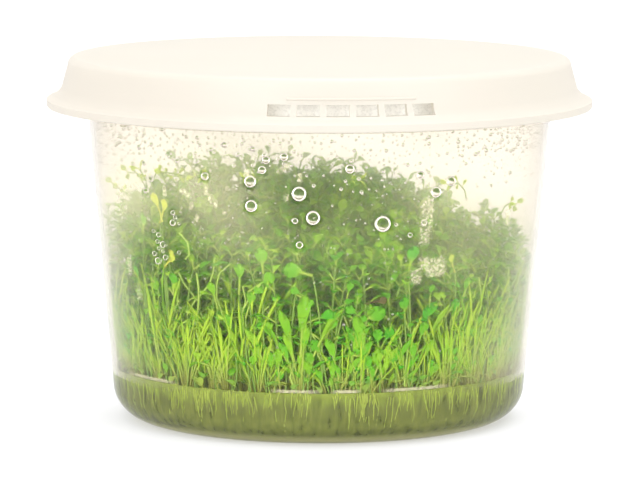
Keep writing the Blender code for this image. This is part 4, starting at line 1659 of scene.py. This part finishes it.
for name, strip, sizes in (
    ("upper_drops", wet_strip("upper_strip", UPPER_LEVELS, upper_wetness, 96), {
        "Density": 0.55e6, "Apart": 0.8 * MM, "Smallest": 0.2 * MM, "Largest": 0.52 * MM, "Seed": 11}),
    ("lower_drops", wet_strip("lower_strip", LOWER_LEVELS, lower_wetness, 360), {
        "Density": 3.0e6, "Apart": 0.42 * MM, "Smallest": 0.12 * MM, "Largest": 0.27 * MM, "Seed": 12}),
):
    new_piece(name, grown(name, strip, dealer, {"Drop": small_drop, "Material": water_material, **sizes}),
              water_material)

# %% [markdown]
# ## Large drops
#
# The large drops hang where they were listed before the plants grew. Each is a copy of the fine cap, turned to
# the tub's axis, and all of them are one mesh.

# %% Large drops
joined = bmesh.new()
for place, radius in drops:
    inward = Vector((-place.x, -place.y, 0)).normalized()
    facing = inward.to_track_quat("Z", "Y").to_matrix().to_4x4()
    before = len(joined.verts)
    joined.from_mesh(large_drop)
    joined.verts.ensure_lookup_table()
    bmesh.ops.transform(joined, verts=joined.verts[before:], matrix=(
        Matrix.Translation(place) @ facing @ Matrix.Scale(radius, 4)))
large_mesh = bpy.data.meshes.new("large_drops")
joined.to_mesh(large_mesh)
joined.free()
new_piece("large_drops", large_mesh, water_material)

# %% [markdown]
# ## Roots
#
# Pale roots as thin as thread run down into the gel. Many keep between the gel and the wall, where the picture
# shows them as strands below each crown, more grow inside, and on the right a few hang in the air above the
# gel. They are chains like the stems, without leaves.

# %% Roots
WALL_ROOTS = 170  # these run down between the gel and the wall
INNER_ROOTS = 120
ON_WALL = -0.01  # clearance of a root that lies between the gel and the wall
DEEPEST = 1.6
ROOT_STEPS = 6
CROWN_ROW = 397
CROWNS = (
    # pixel columns of the middle and half width of a crown, and how many strands run down from it
    (150, 10, 10), (178, 12, 24), (205, 12, 26), (236, 14, 26), (272, 8, 6), (302, 10, 8), (338, 8, 6),
    (366, 9, 22), (404, 6, 9), (430, 10, 10), (458, 12, 14), (486, 12, 12), (508, 8, 8),
)
AIR_ROOTS = ((466, 350), (476, 356), (486, 352), (494, 360), (458, 362), (445, 366), (502, 356), (482, 372))


def root_chain(chains, chance, place, depth, thick, clearance=0.5):
    """A root that wanders down from a place by a depth in millimetres."""
    places = [place]
    drift = Vector((chance.uniform(-0.5, 0.5), chance.uniform(-0.5, 0.5), 0))
    for _ in range(ROOT_STEPS):
        drift = drift * 0.6 + Vector((chance.uniform(-0.5, 0.5), chance.uniform(-0.5, 0.5), 0))
        down = Vector((drift.x * 0.5, drift.y * 0.5, -1.0)) * (depth / ROOT_STEPS) * MM
        below = places[-1] + down
        below.z = max(below.z, DEEPEST * MM)
        places.append(kept_inside(below, clearance))
    chains.add(places, [{"thick": thick * MM * (1 - 0.6 * i / ROOT_STEPS)} for i in range(ROOT_STEPS + 1)])


chance = random.Random(PLANT_SEED + 1)
root_chains = Chains()
gel_edge = inner_radius(GEL_LEVEL)
for i in range(WALL_ROOTS + INNER_ROOTS):
    on_wall = i < WALL_ROOTS
    turn = chance.uniform(0, math.tau)
    reach = gel_edge + 1 if on_wall else gel_edge - 0.6 - 7 * chance.random() ** 2
    clearance = ON_WALL if on_wall else 0.6
    place = kept_inside(around(turn, reach, GEL_LEVEL - 0.2), clearance)
    root_chain(root_chains, chance, place, chance.uniform(2.5, 9.5), chance.uniform(0.07, 0.16), clearance)
for column, half, count in CROWNS:
    for _ in range(count):
        place = wall_point(column + chance.uniform(-half, half), CROWN_ROW, ON_WALL)
        place.z = (GEL_LEVEL + chance.uniform(0.2, 1.3)) * MM
        place = kept_inside(place, ON_WALL)
        root_chain(root_chains, chance, place, chance.uniform(2.5, 7.0), chance.uniform(0.12, 0.24), ON_WALL)
for column, row in AIR_ROOTS:
    place = wall_point(column, row, chance.uniform(0.8, 3.0))
    root_chain(root_chains, chance, place, place.z / MM - GEL_LEVEL + 1, 0.24)
root_mesh = grown("roots", root_chains.mesh("root_chains"), leafy_stems, {
    "Leaf Forms": leaf_shelf, "Sides": 4, "Seed": 3, "Wall Slope": WALL_SLOPE, "Drops": drop_spots,
    "Wall Radius": (CONE_FOOT + 0.15) * MM, "Leaf Material": leaf_material, "Stem Material": root_material})
new_piece("roots", root_mesh, root_material)

# %% [markdown]
# ## Leaves that stand out
#
# A few leaves lie flat against the wall and are seen sharply, some of them yellow or brown. Each is set where
# the picture shows it. A wall leaf has a long stalk that comes up from the gel beside the wall, and its blade
# grows along the wall, leaned left or right.

# %% Leaves on the wall
# the low tints of the leaves in the middle of the front, under the crest, are partly painted shade: a darker
# green for the shade there
WALL_LEAVES = (
    # column and row of the blade's middle, length in mm, lean to the right in degrees, form, tint, wither
    (261, 254, 6.8, -6, ROUND, 0.30, 0.0), (291, 270, 7.6, -76, ROUND, 0.25, 0.0),
    (413, 252, 6.6, 12, ROUND, 0.10, 0.0), (138, 268, 6.0, -6, SPOON, 0.30, 0.0),
    (157, 283, 6.8, 76, ROUND, 0.30, 0.0), (303, 327, 7.2, -54, SPOON, 0.45, 0.0),
    (431, 287, 5.0, 4, SPOON, 0.25, 0.0), (144, 217, 5.6, 5, ROUND, 0.30, 0.0),
    (156, 197, 8.2, -18, SPOON, 0.90, 0.75), (166, 203, 7.4, 26, SPOON, 0.90, 0.70),
    (172, 255, 6.2, 40, ROUND, 0.30, 0.8), (450, 257, 5.6, -24, SPOON, 0.30, 0.6),
    (383, 300, 5.8, 80, SPOON, 0.10, 2.0), (294, 290, 5.8, -58, SPOON, 0.30, 0.0),
    (311, 303, 5.6, 120, SPOON, 0.20, 0.0), (309, 357, 5.4, -20, ROUND, 0.15, 0.0),
    (332, 322, 5.8, 20, ROUND, 0.05, 0.0), (363, 318, 5.6, 25, SPOON, 0.20, 0.0),
    (377, 333, 7.6, -8, SPOON, 0.00, 0.0), (389, 331, 7.6, 24, SPOON, 0.00, 0.0),
    (404, 302, 5.6, -5, ROUND, 0.10, 0.0), (352, 366, 6.6, -76, SPOON, 0.45, 0.0),
    (369, 380, 4.8, -30, ROUND, 0.05, 0.0), (423, 326, 8.0, 14, SPOON, 0.10, 0.0),
    (429, 344, 7.6, 60, SPOON, 0.35, 0.0), (454, 303, 8.6, 8, SPOON, 0.10, 0.0),
    (430, 363, 4.4, 0, ROUND, 0.15, 0.0), (449, 350, 5.6, -25, SPOON, 0.30, 0.0),
    (478, 318, 6.6, 15, SPOON, 0.30, 0.0), (494, 319, 6.0, 22, SPOON, 0.40, 0.0),
    (480, 391, 5.4, 82, ROUND, 0.20, 0.0), (228, 318, 7.6, -8, SPOON, 0.40, 0.0),
    (240, 268, 8.6, 4, SPOON, 0.35, 0.0), (268, 326, 8.4, -10, SPOON, 0.35, 0.0),
    (175, 277, 8.2, -6, SPOON, 0.25, 0.0), (350, 285, 5.6, 12, SPOON, 0.30, 0.0),
    (270, 277, 9.0, 55, SPOON, 0.30, 0.0), (271, 356, 6.2, 76, SPOON, 0.25, 0.0),
    (252, 296, 7.6, 18, SPOON, 0.30, 0.0), (329, 314, 8.0, 68, SPOON, 0.10, 0.0),
    (349, 309, 7.0, -58, SPOON, 0.05, 0.0), (378, 313, 7.6, 64, ROUND, 0.02, 0.0),
    (315, 345, 6.0, -30, ROUND, 0.10, 0.0), (426, 311, 8.2, 4, SPOON, 0.05, 0.0),
    (352, 334, 6.6, 22, SPOON, 0.10, 0.0), (212, 286, 7.4, -14, SPOON, 0.35, 0.0),
    (466, 281, 7.2, 10, SPOON, 0.25, 0.0), (196, 318, 7.0, 14, SPOON, 0.45, 0.0),
)
WALL_GAP = 0.8
BLADE_MIDDLE = {SPOON: 0.72, ROUND: 0.67}  # share of the length
STALK_THICK = 0.2
STALK_END_THICK = 0.16

wall_chains = Chains()
chance = random.Random(PLANT_SEED + 2)
for column, row, length, lean, form, tint, wither in WALL_LEAVES:
    middle = wall_point(column, row, WALL_GAP)
    along_wall = Vector((-middle.y, middle.x, 0)).normalized()  # to the right as the picture shows it
    heading = Vector((0, 0, 1)) * math.cos(math.radians(lean)) + along_wall * math.sin(math.radians(lean))
    start = middle - heading * BLADE_MIDDLE[form] * length * MM
    foot = Vector((start.x, start.y, 0)) - along_wall * chance.uniform(-2.5, 2.5) * MM
    foot.z = (GEL_LEVEL - STEM_FOOT_DEPTH) * MM
    sideways = along_wall * chance.uniform(-1.5, 1.5) * MM
    places = [kept_inside(p, WALL_GAP) for p in bowed(foot, start, sideways, 6)]
    knots = [{"thick": STALK_THICK * MM} for _ in places]
    knots[-1] = {"grow": heading, "turn": math.atan2(middle.y, middle.x), "size": length * MM, "form": form,
                 "tint": tint, "wither": wither, "thick": STALK_END_THICK * MM}
    wall_chains.add(places, knots)
print("wall leaves", len(WALL_LEAVES))

# %% [markdown]
# ## Sprigs
#
# A few thin shoots curl above the rest. Each follows the pixels that it passes, at its own distance from the
# wall, with two small pairs of young leaves on the way and one at the tip.

# %% Sprigs
SPRIGS = (
    # pixels the shoot passes from its foot to its tip, and how far it stands inside the wall in mm
    (((152, 222), (150, 198), (146, 178), (141, 160)), 3.0),
    (((150, 205), (146, 186), (138, 173), (129, 172)), 4.0),
    (((151, 188), (157, 172), (167, 164), (178, 161)), 3.5),
    (((135, 205), (128, 194), (120, 188), (114, 184)), 3.0),
    (((190, 190), (186, 176), (176, 169), (166, 171)), 4.0),
    (((214, 186), (210, 172), (204, 166), (197, 172)), 4.0),
    (((268, 172), (262, 158), (256, 147), (249, 141)), 6.0),
    (((350, 186), (350, 175), (352, 166), (358, 163)), 5.0),
    (((466, 200), (464, 190), (458, 183), (450, 184)), 4.0),
    (((500, 214), (504, 206), (509, 203), (514, 204)), 2.5),
)
SPRIG_TOP = 61.5 * MM
YOUNG = {"form": ROUND, "tint": 0.9, "wither": 0.3}

for pixels, inset in SPRIGS:
    corners = [wall_point(column, row, inset) for column, row in pixels]
    for corner in corners:
        corner.z = min(corner.z, SPRIG_TOP)
    places = []
    for i in range(3):
        places += [corners[i].lerp(corners[i + 1], step / 3) for step in range(3)]
    places.append(corners[-1])
    knots = [{"thick": 0.16 * MM} for _ in places]
    for i in (4, 6):
        knots[i].update({"size": chance.uniform(1.6, 2.6) * MM, "turn": chance.uniform(0, math.tau),
                         "tilt": 0.9, "paired": i % 4 / 2, **YOUNG})
    knots[-1].update({"size": 2.8 * MM, "turn": chance.uniform(0, math.tau),
                      "tilt": 0.5, "paired": 1.0, **YOUNG})
    wall_chains.add(places, knots)
print("sprigs", len(SPRIGS))

# %% [markdown]
# ## Bare stalks
#
# Between the leaves run pale stalks that have lost theirs, the thin bright lines in the lower half of the
# picture. They are traced in the same way. Then the tree dresses both sets of chains.

# %% Bare stalks, and dressing them all
PALE_STEMS = (
    # pixels that a bare stalk passes
    ((230, 264), (220, 273), (217, 284), (217, 297), (221, 309), (225, 323)),
    ((215, 257), (214, 270), (210, 284), (200, 296)),
    ((197, 273), (199, 288), (199, 300), (198, 317), (197, 332), (201, 347)),
    ((179, 272), (185, 284), (191, 292), (198, 300)), ((196, 300), (192, 306), (189, 313)),
    ((201, 313), (205, 320), (208, 328)), ((180, 300), (176, 308), (173, 320)),
    ((180, 233), (188, 242), (190, 254), (186, 259)), ((135, 295), (135, 306), (139, 314)),
    ((145, 303), (151, 316)), ((263, 282), (252, 294), (244, 308)),
    ((269, 306), (258, 317), (255, 332), (254, 347)), ((243, 286), (246, 300), (242, 316)),
    ((312, 334), (316, 341), (318, 355), (321, 361), (325, 368)),
    ((337, 307), (344, 316), (348, 327), (349, 340)), ((359, 313), (354, 318), (349, 321)),
    ((351, 331), (354, 346), (360, 358), (362, 371), (362, 388)),
    ((370, 336), (366, 346), (363, 360), (361, 374), (360, 390)),
    ((381, 350), (379, 360), (376, 372), (374, 390)),
    ((395, 329), (400, 340), (403, 355), (403, 369), (405, 386)),
    ((417, 325), (409, 338), (407, 353), (405, 369), (404, 386)), ((404, 319), (409, 330)),
    ((388, 342), (398, 354), (401, 365)), ((302, 356), (294, 365), (290, 377), (295, 389)),
    ((336, 362), (327, 369), (319, 375)), ((462, 305), (463, 320), (465, 338), (465, 353)),
    ((469, 276), (465, 291), (463, 297)),
    ((478, 277), (480, 291), (480, 306), (475, 323), (473, 338), (472, 355)),
    ((452, 316), (453, 330), (454, 344)), ((500, 315), (493, 325), (487, 341)),
    ((451, 353), (454, 362), (460, 375)), ((507, 267), (507, 284), (508, 299)),
)

pale_chains = Chains()
for pixels in PALE_STEMS:
    inset = chance.uniform(0.8, 1.8)
    corners = [wall_point(column, row, inset) for column, row in pixels]
    places = [corners[0]]
    for last, ahead in zip(corners, corners[1:]):
        places += [last.lerp(ahead, 0.5), ahead]
    pale_chains.add(places, [{"thick": chance.uniform(0.17, 0.23) * MM} for _ in places])
for name, made, stalk in (
    ("wall_leaves", wall_chains, stem_material),
    ("pale_stems", pale_chains, stalk_material),
):
    mesh = grown(name, made.mesh(name + "_chains"), leafy_stems, {
        "Leaf Forms": leaf_shelf, "Sides": 5, "Seed": 4, "Wall Slope": WALL_SLOPE, "Drops": drop_spots,
        "Wall Radius": (CONE_FOOT - LEAF_CLEARANCE) * MM,
        "Leaf Material": leaf_material, "Stem Material": stalk})
    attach(into_scene(name, mesh), "root")
    print(name, len(mesh.polygons), "faces")

# %% [markdown]
# ## The studio
#
# A light table and an even white surround give the high-key look of a shop picture: the table glows, so the gel
# and the foot of the tub are lit from below as well. Two soft lights in front, the stronger one on the left,
# draw the highlights on the lid and the drops, and one above keeps the lid bright. The view's gamma stands for
# the camera's tone curve.

# %% Studio
FLOOR_SIZE = 14.0
FLOOR_LEVEL = -0.02 * MM  # just under the tub, so that the two don't share a face
TABLE_GLOW = 0.35
SURROUND = 1.5
TONE_GAMMA = 1.12  # lifts the shade between the leaves

floor_material, floor_tree, floor_output = new_material("lit_white_acrylic_table")
floor_surface = add_node(floor_tree, "ShaderNodeBsdfPrincipled", None, {
    "Base Color": srgb("#c8c8ca"), "Roughness": 0.9, "Specular IOR Level": 0.1,
    "Emission Color": srgb("#ffffff"), "Emission Strength": TABLE_GLOW})
floor_tree.links.new(floor_surface.outputs["BSDF"], floor_output.inputs["Surface"])
bpy.ops.mesh.primitive_plane_add(size=FLOOR_SIZE, location=(0, 0, FLOOR_LEVEL))
floor = bpy.context.object
floor.name = "floor"
floor.data.materials.append(floor_material)

world = bpy.data.worlds.new("white_surround")
bpy.context.scene.world = world
world.use_nodes = True
background = world.node_tree.nodes["Background"]
background.inputs["Color"].default_value = srgb("#ffffff")
background.inputs["Strength"].default_value = SURROUND


def soft_light(name, place, size, power):
    """A square soft light that looks at the middle of the tub."""
    light = bpy.data.lights.new(name, "AREA")
    light.size = size
    light.energy = power
    holder = into_scene(name, light)
    holder.location = place
    holder.rotation_euler = (AIM - Vector(place)).to_track_quat("-Z", "Y").to_euler()


soft_light("key_light", (-0.8, -1.15, 0.5), 1.0, 10.0)
soft_light("fill_light", (1.0, -0.9, 0.4), 1.0, 7.5)
soft_light("top_light", (0.1, 0.2, 1.1), 0.8, 6.5)

bpy.context.scene.view_settings.view_transform = "Standard"
bpy.context.scene.view_settings.look = "None"
bpy.context.scene.view_settings.gamma = TONE_GAMMA
print("surround", SURROUND, "table glow", TABLE_GLOW, "and", len(bpy.data.lights), "lights")
